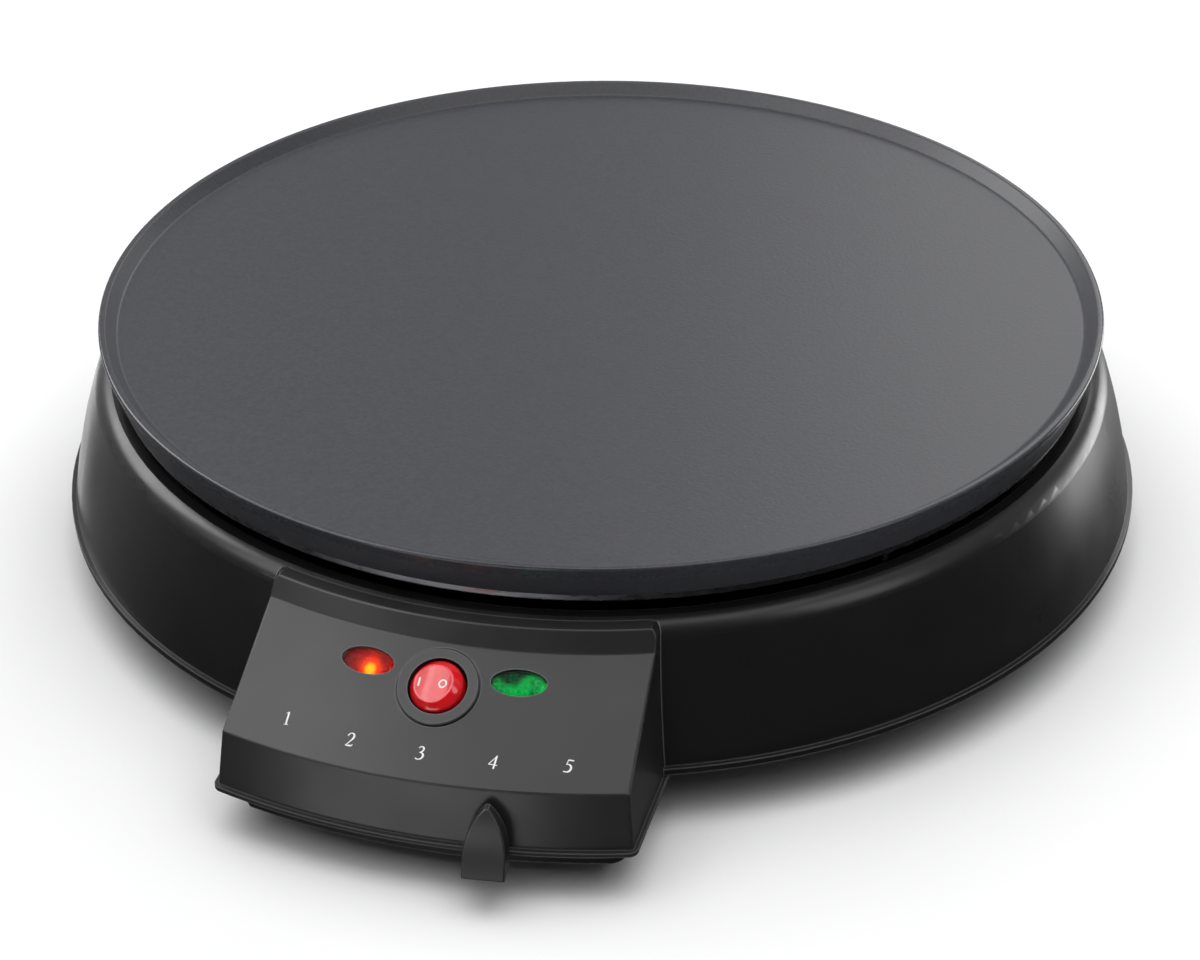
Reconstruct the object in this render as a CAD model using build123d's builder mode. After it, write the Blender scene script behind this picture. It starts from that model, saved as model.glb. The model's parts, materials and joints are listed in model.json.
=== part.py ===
"""Round electric crepe griddle: plate, base, control housing, lever, switch and what they hold.

Lengths are millimetres and +Z is up. Every piece is modelled about the plate's vertical axis,
with z = 0 on the table and the controls facing -Y. keep() then moves it along Y, so that the
object's own origin lies under the middle of its bounding box.
"""

import os
from math import atan2, cos, degrees, hypot, pi, radians, sin, sqrt, tan

from build123d import *

# ---------------------------------------------------------------- driving dimensions
# Griddle plate
RIM_Z = 74.0
RIM_R = 150.3
RIM_WIDTH = 2.3
SURFACE_R = 144.6
SURFACE_Z = RIM_Z - 3.4
PLATE_THICK = 4.0
PLATE_UNDER = SURFACE_Z - PLATE_THICK
SKIRT_R = 146.7
SKIRT_Z = RIM_Z - 10.7
SKIRT_WALL = 3.0

# Reflector pan under the plate
PAN_R = 146.0
PAN_THICK = 0.8
PAN_LIP_TOP = SKIRT_Z - 0.1
PAN_LIP_LOW = SKIRT_Z - 2.4
PAN_FLOOR = 50.0
PAN_FLOOR_R = 129.0
PAN_STEP_R = 137.0
PAN_HOLE_R = 34.0

# Base ring
FLANGE_Z = 15.5
FLANGE_R = 162.8
FLANGE_THICK = 2.0
WALL = 2.5
WALL_LOW = (161.3, FLANGE_Z + FLANGE_THICK)
WALL_MID = (157.3, 37.5)
WALL_TOP = (152.6, 52.6)
CREST_R = 147.6
CREST_Z = 57.2
WELL_TOP_R = 143.6
WELL_LOW_R = 141.0
WELL_FLOOR = 36.0
HUB_R = 8.0
HUB_Z = 20.0

# Control housing: its face is a cone about the plate's axis
FACE_TOP = (156.5, 51.3)
FACE_LOW = (190.9, 31.3)
BAND_TOP = (152.9, 56.5)
FRONT_LOW_R = 193.1
LIP_R = 194.7
LIP_Z = 13.7
LIP_THICK = 1.3
LIP_CORNER = 3.0
HOUSING_BACK_R = 149.4
HOUSING_WALL = 2.3
HALF_TOP = 53.9
HALF_LOW = 57.3
HALF_LIP = 58.5
SEAM = 0.15
FACE_SLOPE = degrees(atan2(FACE_TOP[1] - FACE_LOW[1], FACE_LOW[0] - FACE_TOP[0]))

# Bottom cover with the lever's guide
COVER_Z = 8.0
COVER_THICK = 2.0
COVER_TRAY_R = 146.0
COVER_FLANGE_R = 158.2
GUIDE_R = 190.0
GUIDE_HALF = 54.0
GUIDE_CORNER = 5.0
GUIDE_SLANT = (49.0, 54.0)
GUIDE_WALL = 2.2
SLOT_ANGLE = 14.6
SLOT_LOW = 10.1
SLOT_TOP = 13.6

# Lever: it turns about the plate's axis
POSITION_STEP = 6.1
REST_ANGLE = POSITION_STEP
SPINDLE_R = 3.0
SPINDLE_LOW = 10.6
SPINDLE_TOP = 56.5
RUNNING = 0.05
ARM_Z = 12.0
ARM_THICK = 1.2
ARM_END_R = 200.0
KNOB_BACK_R = 195.5
KNOB_FRONT_R = 203.2
KNOB_LOW = 11.1
KNOB_SHOULDER = 16.8
KNOB_TIP = 28.4
KNOB_HALF = 5.7
KNOB_LEAN = 3.0
KNOB_EDGE = 0.5

# Rocker switch, on the face at R = SWITCH_R
SWITCH_R = 167.5
BEZEL_R = 11.1
BEZEL_TOP_R = 10.8
BEZEL_TOP = 0.9
BEZEL_SEAT = 0.4
BEZEL_GAP = 0.35
BARREL_R = 9.9
BARREL_DEPTH = 16.0
WINDOW_R = 8.1
ROCKER_R = 7.5
ROCKER_BALL_R = 8.0
ROCKER_TOP_R = 5.7
ROCKER_SHOULDER = 3.0
ROCKER_TOP = 2.8
ROCKER_LOW = 4.5
DISH_R = 42.0
DISH_DEPTH = 0.4
PIVOT_DEPTH = 2.4
ROCKER_TILT = 9.0
TRUNNION_R = 0.9

# Pilot lamps
LAMP_R = 164.2
LAMP_ANGLE = 7.3
LENS_HALF_X = 7.35
LENS_HALF_Y = 3.7
LENS_GAP = 0.15

# Fixings
STUD_RING_R = 112.0
STUD_ANGLES = (90, 210, 330)
STUD_R = 2.0
ELEMENT_R = 92.0
ELEMENT_TUBE_R = 3.3
ELEMENT_GAP = 14.0
CLIP_ANGLES = (155, 225, 315, 385)
COVER_SCREW_R = 152.0
COVER_SCREW_ANGLES = (0, 60, 120, 180, 236, 304)
FRONT_SCREW = (44.5, -158.0)
FOOT_RING_R = 118.0
FOOT_ANGLES = (45, 135, 225, 315)
FOOT_R = 9.0

# Cord gland at the rear
GLAND_Z = 29.0
GLAND_BORE_R = 3.6
GLAND_NECK_R = 5.9
GLAND_PAD_Y = 161.6
GLAND_END_Y = 164.2
GLAND_IN_Y = 149.5

# The bounding box runs from the knob's front corner to the gland's end
FRONT_Y = KNOB_FRONT_R * cos(radians(REST_ANGLE)) + KNOB_HALF * sin(radians(REST_ANGLE))
FRAME_Y = (FRONT_Y - GLAND_END_Y) / 2
TO_FRAME = Location((0, FRAME_Y, 0))

os.makedirs("parts", exist_ok=True)


# ---------------------------------------------------------------- helpers
def keep(piece, name):
    """Label a finished piece, move it into the object's frame and write it."""
    piece.part.label = name
    placed = piece.part.moved(TO_FRAME)
    placed.label = name
    export_step(placed, f"parts/{name}.step")


def on_ring(radius, angle, height=0.0):
    """A point on a circle about the plate's axis; the angle is counted from +X."""
    return Vector(radius * cos(radians(angle)), radius * sin(radians(angle)), height)


def ring_spots(radius, angles):
    """Flat positions on a circle about the plate's axis."""
    return [(on_ring(radius, angle).X, on_ring(radius, angle).Y) for angle in angles]


def corner(sketch, x, y):
    """The sketch's vertex nearest to a point."""
    return sketch.vertices().sort_by_distance((x, y, 0))[0]


def face_z(radius):
    """Height of the control face at a distance from the plate's axis."""
    return FACE_TOP[1] - (radius - FACE_TOP[0]) * tan(radians(FACE_SLOPE))


def face_plane(radius, turn=0.0):
    """Plane tangent to the control face: x to the right, y up the slope, z outwards."""
    square = Plane(
        origin=(0, -radius, face_z(radius)),
        x_dir=(1, 0, 0),
        z_dir=(0, -sin(radians(FACE_SLOPE)), cos(radians(FACE_SLOPE))),
    )
    return turned(square, turn)


def turned(plane, turn):
    """A plane turned about the plate's axis."""
    spin = Rotation(0, 0, turn)
    return Plane(spin * plane.location)


def tube_path(points):
    """Straight runs joined by tangent arcs, each as large as its two runs allow."""
    places = [Vector(*point) for point in points]
    radii = []
    for before, here, after in zip(places, places[1:], places[2:]):
        turn = radians((here - before).get_angle(after - here))
        shorter = min((here - before).length, (after - here).length)
        radii.append(0.45 * shorter / tan(turn / 2))
    with BuildLine() as path:
        FilletPolyline(*places, radius=radii)
    return path.wire()


def tube(path, radius):
    """A round rod along a path; its volume is compared with section times length."""
    with BuildPart() as rod:
        with BuildSketch(Plane(origin=path @ 0, z_dir=path % 0)):
            Circle(radius)
        sweep(path=path)
    wanted = path.length * pi * radius**2
    if abs(rod.part.volume - wanted) > 0.002 * wanted:
        print("tube volume off", rod.part.volume, wanted)
    return rod.part


# ---------------------------------------------------------------- griddle plate and element
def make_plate():
    """Non-stick aluminium dish with a low rim, a skirt and three stud bosses."""
    with BuildPart() as plate:
        with BuildSketch(Plane.XZ) as section:
            with BuildLine():
                Polyline(
                    (0, PLATE_UNDER),
                    (SKIRT_R - SKIRT_WALL - 0.4, PLATE_UNDER),
                    (SKIRT_R - SKIRT_WALL, SKIRT_Z),
                    (SKIRT_R, SKIRT_Z),
                    (RIM_R, RIM_Z),
                    (RIM_R - RIM_WIDTH, RIM_Z),
                    (SURFACE_R, SURFACE_Z),
                    (0, SURFACE_Z),
                    close=True,
                )
            make_face()
            fillet(corner(section, RIM_R, RIM_Z), 0.8)
            fillet(corner(section, RIM_R - RIM_WIDTH, RIM_Z), 0.9)
            fillet(corner(section, SURFACE_R, SURFACE_Z), 1.6)
            fillet(corner(section, SKIRT_R, SKIRT_Z), 0.6)
        revolve(axis=Axis.Z)
        with BuildSketch(Plane.XY.offset(PLATE_UNDER)):
            with Locations(*ring_spots(STUD_RING_R, STUD_ANGLES)):
                Circle(7)
        extrude(amount=-5.6)
        with BuildSketch(Plane.XY.offset(PLATE_UNDER - 5.6)):
            with Locations(*ring_spots(STUD_RING_R, STUD_ANGLES)):
                Circle(STUD_R + RUNNING)
        extrude(amount=4.6, mode=Mode.SUBTRACT)
        with BuildSketch(Plane.XY.offset(PLATE_UNDER)):
            with Locations(*clip_screw_spots()):
                Circle(1.5)
        extrude(amount=2.6, mode=Mode.SUBTRACT)
    keep(plate, "griddle_plate")


def clip_screw_spots():
    """Two screws beside the element at each clip."""
    spots = []
    for side in (-8.0, 8.0):
        spots += ring_spots(ELEMENT_R + side, CLIP_ANGLES)
    return spots


ELEMENT_Z = PLATE_UNDER - ELEMENT_TUBE_R - 0.1
ELEMENT_BEND = 9.0
ELEMENT_DROP = 9.0


def element_end(side):
    """Where the element's ring ends beside the gap, and the way it leaves the ring."""
    angle = 90 + side * ELEMENT_GAP
    start = on_ring(ELEMENT_R, angle, ELEMENT_Z)
    along = Vector(side * sin(radians(angle)), -side * cos(radians(angle)), 0)
    return start, along


def element_tip(side):
    """Lower end of the element's down-turned leg."""
    start, along = element_end(side)
    return start + along * ELEMENT_BEND - Vector(0, 0, ELEMENT_BEND + ELEMENT_DROP)


def make_element():
    """Tubular element: nearly a full ring, both ends turned down, with pins and seals."""
    bend = ELEMENT_BEND
    with BuildLine() as path:
        for side in (-1, 1):
            start, along = element_end(side)
            half = start + along * bend * sin(radians(45))
            half -= Vector(0, 0, bend * (1 - cos(radians(45))))
            end = start + along * bend - Vector(0, 0, bend)
            ThreePointArc(start, half, end)
            Line(end, element_tip(side))
        CenterArc((0, 0, ELEMENT_Z), ELEMENT_R, 90 + ELEMENT_GAP, 360 - 2 * ELEMENT_GAP)
    ring = path.wire()
    with BuildPart() as element:
        add(tube(ring, ELEMENT_TUBE_R))
    keep(element, "heating_element")

    with BuildPart() as seals:
        for side in (-1, 1):
            tip = element_tip(side)
            with BuildSketch(Plane.XY.offset(tip.Z)):
                with Locations((tip.X, tip.Y)):
                    Circle(2.9)
                    Circle(1.05, mode=Mode.SUBTRACT)
            extrude(amount=-3.0)
    keep(seals, "element_seals")

    with BuildPart() as pins:
        for side in (-1, 1):
            tip = element_tip(side)
            with BuildSketch(Plane.XY.offset(tip.Z)):
                with Locations((tip.X, tip.Y)):
                    Circle(1.0)
            extrude(amount=-4.0)
            with BuildSketch(Plane.XY.offset(tip.Z - 4.0)):
                with Locations((tip.X, tip.Y)):
                    Rectangle(6.3, 0.8)
            extrude(amount=-5.0)
    keep(pins, "element_terminals")


def make_element_clips():
    """Four sheet saddles that press the element to the plate, and their screws."""
    outer = ELEMENT_TUBE_R + 1.2
    inner = ELEMENT_TUBE_R + 0.2
    with BuildPart() as clips:
        for angle in CLIP_ANGLES:
            middle = on_ring(ELEMENT_R, angle, ELEMENT_Z)
            radial = Vector(cos(radians(angle)), sin(radians(angle)), 0)
            side = Vector(-sin(radians(angle)), cos(radians(angle)), 0)
            with BuildSketch(Plane(origin=middle, x_dir=radial, z_dir=-side)):
                Circle(outer)
                Rectangle(2 * outer, ELEMENT_TUBE_R + 0.1, align=(Align.CENTER, Align.MIN))
                with Locations((0, ELEMENT_TUBE_R - 0.45)):
                    Rectangle(22, 1.0)
                Circle(inner, mode=Mode.SUBTRACT)
                with Locations((0, ELEMENT_TUBE_R + 0.1)):
                    Rectangle(2 * inner, 2 * ELEMENT_TUBE_R, mode=Mode.SUBTRACT)
                with Locations((0, ELEMENT_TUBE_R + 0.05)):
                    Rectangle(30, 8, align=(Align.CENTER, Align.MIN), mode=Mode.SUBTRACT)
            extrude(amount=5, both=True)
        with BuildSketch(Plane.XY.offset(PLATE_UNDER)):
            with Locations(*clip_screw_spots()):
                Circle(1.6)
        extrude(amount=-3, mode=Mode.SUBTRACT)
    keep(clips, "element_clips")

    head_z = ELEMENT_Z + ELEMENT_TUBE_R - 0.95
    with BuildPart() as screws:
        with BuildSketch(Plane.XY.offset(head_z)):
            with Locations(*clip_screw_spots()):
                Circle(2.6)
        extrude(amount=-1.6)
        with BuildSketch(Plane.XY.offset(head_z)):
            with Locations(*clip_screw_spots()):
                Circle(1.45)
        extrude(amount=3.2)
    keep(screws, "clip_screws")


def make_reflector():
    """Bright sheet pan that throws the heat up; its lip shows below the plate's skirt."""
    with BuildPart() as pan:
        with BuildSketch(Plane.XZ) as section:
            with BuildLine():
                Polyline(
                    (PAN_HOLE_R, PAN_FLOOR),
                    (PAN_FLOOR_R, PAN_FLOOR),
                    (PAN_STEP_R, PAN_LIP_LOW + PAN_THICK),
                    (PAN_R - PAN_THICK, PAN_LIP_LOW + PAN_THICK),
                    (PAN_R - PAN_THICK, PAN_LIP_TOP),
                    (PAN_R, PAN_LIP_TOP),
                    (PAN_R, PAN_LIP_LOW),
                    (PAN_STEP_R + 0.5, PAN_LIP_LOW),
                    (PAN_FLOOR_R + 0.5, PAN_FLOOR - PAN_THICK),
                    (PAN_HOLE_R, PAN_FLOOR - PAN_THICK),
                    close=True,
                )
            make_face()
            fillet(corner(section, PAN_R, PAN_LIP_LOW), 0.6)
        revolve(axis=Axis.Z)
        with BuildSketch(Plane.XY.offset(PAN_FLOOR + 1)):
            with Locations(*ring_spots(STUD_RING_R, STUD_ANGLES)):
                Circle(STUD_R + 0.3)
            for side in (-1, 1):
                with Locations((element_tip(side).X, element_tip(side).Y)):
                    Circle(6)
        extrude(amount=-3, mode=Mode.SUBTRACT)
    keep(pan, "reflector_pan")


def make_studs():
    """Studs, spacers, washers and nuts that hold plate, reflector and base together."""
    spots = ring_spots(STUD_RING_R, STUD_ANGLES)
    boss_low = PLATE_UNDER - 5.6
    floor_low = WELL_FLOOR - WALL
    washer = 0.8
    hole = STUD_R + 0.2

    def rings(name, outer, low, high, places):
        with BuildPart() as piece:
            with BuildSketch(Plane.XY.offset(low)):
                with Locations(*places):
                    Circle(outer)
                    Circle(hole, mode=Mode.SUBTRACT)
            extrude(amount=high - low)
        keep(piece, name)

    with BuildPart() as studs:
        with BuildSketch(Plane.XY.offset(floor_low - 6.0)):
            with Locations(*spots):
                Circle(STUD_R)
        extrude(amount=boss_low + 4.0 - (floor_low - 6.0))
    keep(studs, "plate_studs")

    tag_low = PAN_FLOOR - PAN_THICK - washer
    rings("upper_spacers", 4.0, PAN_FLOOR, boss_low, spots)
    rings("lower_spacers", 4.0, WELL_FLOOR, tag_low, spots)
    rings("spacer_washers", 5.0, tag_low, tag_low + washer, spots[1:])
    rings("stud_washers", 4.8, floor_low - washer, floor_low, spots)

    with BuildPart() as nuts:
        with BuildSketch(Plane.XY.offset(floor_low - washer - 3.2)):
            with Locations(*spots):
                RegularPolygon(4.04, 6)
                Circle(STUD_R + RUNNING, mode=Mode.SUBTRACT)
        extrude(amount=3.2)
    keep(nuts, "stud_nuts")

    with BuildPart() as tag:
        with BuildSketch(Plane.XY.offset(tag_low)):
            with Locations(spots[0]):
                Circle(5.0)
                with Locations((0, 8)):
                    Rectangle(6.3, 14)
                Circle(hole, mode=Mode.SUBTRACT)
        extrude(amount=washer)
    keep(tag, "earth_tag")


# ---------------------------------------------------------------- thermostat and fuse
BRACKET_LOW = PLATE_UNDER - 1.3
THERMOSTAT_LOW = 51.0


def make_thermostat():
    """Bimetal thermostat clamped to the middle of the plate's underside."""
    with BuildPart() as bracket:
        with BuildSketch(Plane.XY.offset(BRACKET_LOW)):
            RectangleRounded(52, 20, 4)
            with Locations((-21, 0), (21, 0)):
                Circle(1.7, mode=Mode.SUBTRACT)
        extrude(amount=1.2)
    keep(bracket, "thermostat_bracket")

    with BuildPart() as body:
        with BuildSketch(Plane.XY.offset(THERMOSTAT_LOW)):
            RectangleRounded(30, 18, 2)
        extrude(amount=BRACKET_LOW - THERMOSTAT_LOW)
        with BuildSketch(Plane.XY.offset(THERMOSTAT_LOW)):
            Circle(SPINDLE_R + RUNNING)
        extrude(amount=SPINDLE_TOP + 0.5 - THERMOSTAT_LOW, mode=Mode.SUBTRACT)
    keep(body, "thermostat_body")

    with BuildPart() as blades:
        for side in (-1, 1):
            with BuildSketch(Plane.XY.offset(THERMOSTAT_LOW + 4)):
                with Locations((side * 20, 0)):
                    Rectangle(10, 6.3)
            extrude(amount=0.8)
    keep(blades, "thermostat_terminals")

    with BuildPart() as fuse:
        with BuildSketch(Plane(origin=(-10, 26, PLATE_UNDER - 3.0), x_dir=(0, 1, 0), z_dir=(1, 0, 0))):
            Circle(2.2)
        extrude(amount=20)
    keep(fuse, "thermal_fuse")

    with BuildPart() as clip:
        with BuildSketch(Plane(origin=(-4, 26, PLATE_UNDER - 3.0), x_dir=(0, 1, 0), z_dir=(1, 0, 0))):
            Circle(2.9)
            with Locations((3, 2.35)):
                Rectangle(16, 1.1)
            Circle(2.3, mode=Mode.SUBTRACT)
        extrude(amount=8)
    keep(clip, "fuse_clip")


# ---------------------------------------------------------------- base ring and control housing
def drum(inset, bottom):
    """Solid inside the base ring's outer skin, moved in by inset."""
    with BuildPart() as body:
        with BuildSketch(Plane.XZ) as section:
            with BuildLine():
                low = (WALL_LOW[0] - inset, WALL_LOW[1])
                middle = (WALL_MID[0] - inset, WALL_MID[1])
                high = (WALL_TOP[0] - inset, WALL_TOP[1] - 0.4 * inset)
                crest = (CREST_R - 0.3 * inset, CREST_Z - inset)
                Polyline(crest, (0, crest[1]), (0, bottom), (low[0], bottom), low)
                wall = ThreePointArc(low, middle, high)
                TangentArc(high, crest, tangent=wall % 1)
            make_face()
        revolve(axis=Axis.Z)
    return body.part


def control_body(back, bottom, inset):
    """Solid inside the control housing's outer skin, moved in by inset."""
    lean = (FRONT_LOW_R - FACE_LOW[0]) / (FACE_LOW[1] - FLANGE_Z)
    with BuildPart() as body:
        with BuildSketch(Plane.XZ):
            with BuildLine():
                Polyline(
                    (back, bottom),
                    (FACE_LOW[0] + lean * (FACE_LOW[1] - bottom), bottom),
                    FACE_LOW,
                    FACE_TOP,
                    BAND_TOP,
                    (back, CREST_Z + 0.1),
                    close=True,
                )
            make_face()
            offset(amount=-inset, kind=Kind.INTERSECTION)
        revolve(axis=Axis.Z)
        with BuildSketch(Plane.XZ.offset(-100)) as front:
            with BuildLine():
                slope = (HALF_LOW - HALF_TOP) / (FACE_TOP[1] - FLANGE_Z)
                low_half = HALF_LOW + slope * (FLANGE_Z - bottom)
                top_half = HALF_TOP - slope * (CREST_Z + 0.1 - FACE_TOP[1])
                Polyline(
                    (-low_half, bottom),
                    (low_half, bottom),
                    (top_half, CREST_Z + 0.1),
                    (-top_half, CREST_Z + 0.1),
                    close=True,
                )
            make_face()
            offset(amount=-inset, kind=Kind.INTERSECTION)
            fillet(front.vertices().group_by(Axis.Y)[-1], 4.0)
        extrude(amount=300, mode=Mode.INTERSECT)
    return body.part


def is_housing_corner(edge):
    """True for an outer edge of the control housing that the mould rounds off."""
    middle = edge.center()
    beyond = hypot(middle.X, middle.Y)
    rings = edge.geom_type == GeomType.CIRCLE and beyond > HOUSING_BACK_R + 1
    sides = abs(middle.X) > HALF_TOP - 9 and beyond > HOUSING_BACK_R + 1.6
    return middle.Z > FLANGE_Z + 1 and (rings or sides)


def front_screw_spots():
    """The two screws beside the lever's sweep."""
    return [(-FRONT_SCREW[0], FRONT_SCREW[1]), FRONT_SCREW]


def gland_plane(y):
    """Upright plane across the cord gland, its normal to the rear."""
    return Plane(origin=(0, y, GLAND_Z), x_dir=(-1, 0, 0), z_dir=(0, 1, 0))


def make_base():
    """Moulded ring: outer wall, rounded shoulder, well for the plate and a bearing hub."""
    outer = drum(0, FLANGE_Z)
    housing_space = control_body(HOUSING_BACK_R, FLANGE_Z - 5, -SEAM)
    with BuildPart() as hollow:
        add(drum(WALL, FLANGE_Z - 1))
        with BuildSketch(Plane.XZ):
            with BuildLine():
                Polyline(
                    (0, WELL_FLOOR - WALL),
                    (WELL_LOW_R + WALL, WELL_FLOOR - WALL),
                    (WELL_TOP_R + WALL, CREST_Z),
                    (0, CREST_Z),
                    close=True,
                )
            make_face()
        revolve(axis=Axis.Z, mode=Mode.SUBTRACT)
        with BuildSketch(Plane.XY.offset(FLANGE_Z + 2.2)):
            with Locations(*ring_spots(COVER_SCREW_R, COVER_SCREW_ANGLES)):
                Circle(4)
        extrude(amount=40, mode=Mode.SUBTRACT)
        with BuildSketch(Plane.XY.offset(HUB_Z)):
            Circle(HUB_R)
        extrude(amount=20, mode=Mode.SUBTRACT)
        with BuildSketch(gland_plane(GLAND_IN_Y + 4)):
            Circle(9.5)
        extrude(amount=20, mode=Mode.SUBTRACT)
    with BuildPart() as base:
        add(outer)
        with BuildSketch(gland_plane(GLAND_IN_Y + 4)):
            Circle(9.5)
        extrude(amount=GLAND_PAD_Y - GLAND_IN_Y - 4)
        with BuildSketch(Plane.XY.offset(FLANGE_Z)):
            Circle(FLANGE_R)
        extrude(amount=FLANGE_THICK)
        add(hollow.part, mode=Mode.SUBTRACT)
        with BuildSketch(Plane.XZ):
            with BuildLine():
                Polyline(
                    (0, WELL_FLOOR),
                    (WELL_LOW_R, WELL_FLOOR),
                    (WELL_TOP_R, CREST_Z + 1),
                    (0, CREST_Z + 1),
                    close=True,
                )
            make_face()
        revolve(axis=Axis.Z, mode=Mode.SUBTRACT)
        add(housing_space, mode=Mode.SUBTRACT)
        with BuildSketch(Plane.XY.offset(HUB_Z - 1)):
            Circle(SPINDLE_R + RUNNING)
        extrude(amount=20, mode=Mode.SUBTRACT)
        with BuildSketch(Plane.XY.offset(WELL_FLOOR + 1)):
            with Locations(*ring_spots(STUD_RING_R, STUD_ANGLES)):
                Circle(STUD_R + 0.3)
            with Locations((0, 72), (40, -42)):
                Circle(9)
        extrude(amount=-5, mode=Mode.SUBTRACT)
        with BuildSketch(Plane.XY.offset(FLANGE_Z + 2)):
            with Locations(*ring_spots(COVER_SCREW_R, COVER_SCREW_ANGLES)):
                Circle(1.6)
        extrude(amount=12, mode=Mode.SUBTRACT)
        with BuildSketch(gland_plane(GLAND_IN_Y)):
            Circle(GLAND_NECK_R + 0.1)
        extrude(amount=20, mode=Mode.SUBTRACT)
        crest_edges = base.edges().filter_by(GeomType.CIRCLE).group_by(Axis.Z)[-1]
        fillet(crest_edges.sort_by(SortBy.RADIUS)[0], 1.2)
    keep(base, "base_housing")


def make_control_housing():
    """Moulded box for switch, lamps and scale; its sides draft out to a thin lip."""
    skin = control_body(HOUSING_BACK_R, LIP_Z, 0)
    with BuildPart() as cavity:
        add(control_body(HOUSING_BACK_R - 20, LIP_Z - 10, HOUSING_WALL))
        with BuildSketch(Plane.XY.offset(FLANGE_Z + 2.2)):
            with Locations(*front_screw_spots()):
                Circle(3.6)
        extrude(amount=60, mode=Mode.SUBTRACT)
    with BuildPart() as housing:
        add(skin)
        fillet(housing.edges().filter_by(is_housing_corner), 0.9)
        with BuildSketch(Plane.XY.offset(LIP_Z)) as lip:
            Circle(LIP_R)
            Rectangle(2 * HALF_LIP, LIP_R, align=(Align.CENTER, Align.MAX), mode=Mode.INTERSECT)
            Circle(HOUSING_BACK_R, mode=Mode.SUBTRACT)
            fillet(lip.vertices().group_by(Axis.Y)[0], LIP_CORNER)
        extrude(amount=LIP_THICK)
        add(cavity.part, mode=Mode.SUBTRACT)
        with BuildSketch(Plane.XY.offset(FLANGE_Z + 2)):
            with Locations(*front_screw_spots()):
                Circle(1.6)
        extrude(amount=12, mode=Mode.SUBTRACT)
        with BuildSketch(face_plane(SWITCH_R)):
            Circle(BARREL_R + 0.2)
        extrude(amount=6, both=True, mode=Mode.SUBTRACT)
        with BuildSketch(face_plane(SWITCH_R).offset(-BEZEL_SEAT)):
            Circle(BEZEL_R + BEZEL_GAP)
        extrude(amount=4, mode=Mode.SUBTRACT)
        for side in (-1, 1):
            with BuildSketch(face_plane(LAMP_R, side * LAMP_ANGLE)):
                Ellipse(LENS_HALF_X + LENS_GAP, LENS_HALF_Y + LENS_GAP)
            extrude(amount=6, both=True, mode=Mode.SUBTRACT)
    keep(housing, "control_housing")


# ---------------------------------------------------------------- bottom cover, feet, screws
def plan_outline(radius, half_width, front_radius):
    """Round outline with a squared nose to the front; call it inside a sketch."""
    Circle(front_radius)
    Rectangle(2 * half_width, front_radius, align=(Align.CENTER, Align.MAX), mode=Mode.INTERSECT)
    Circle(radius)


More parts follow.
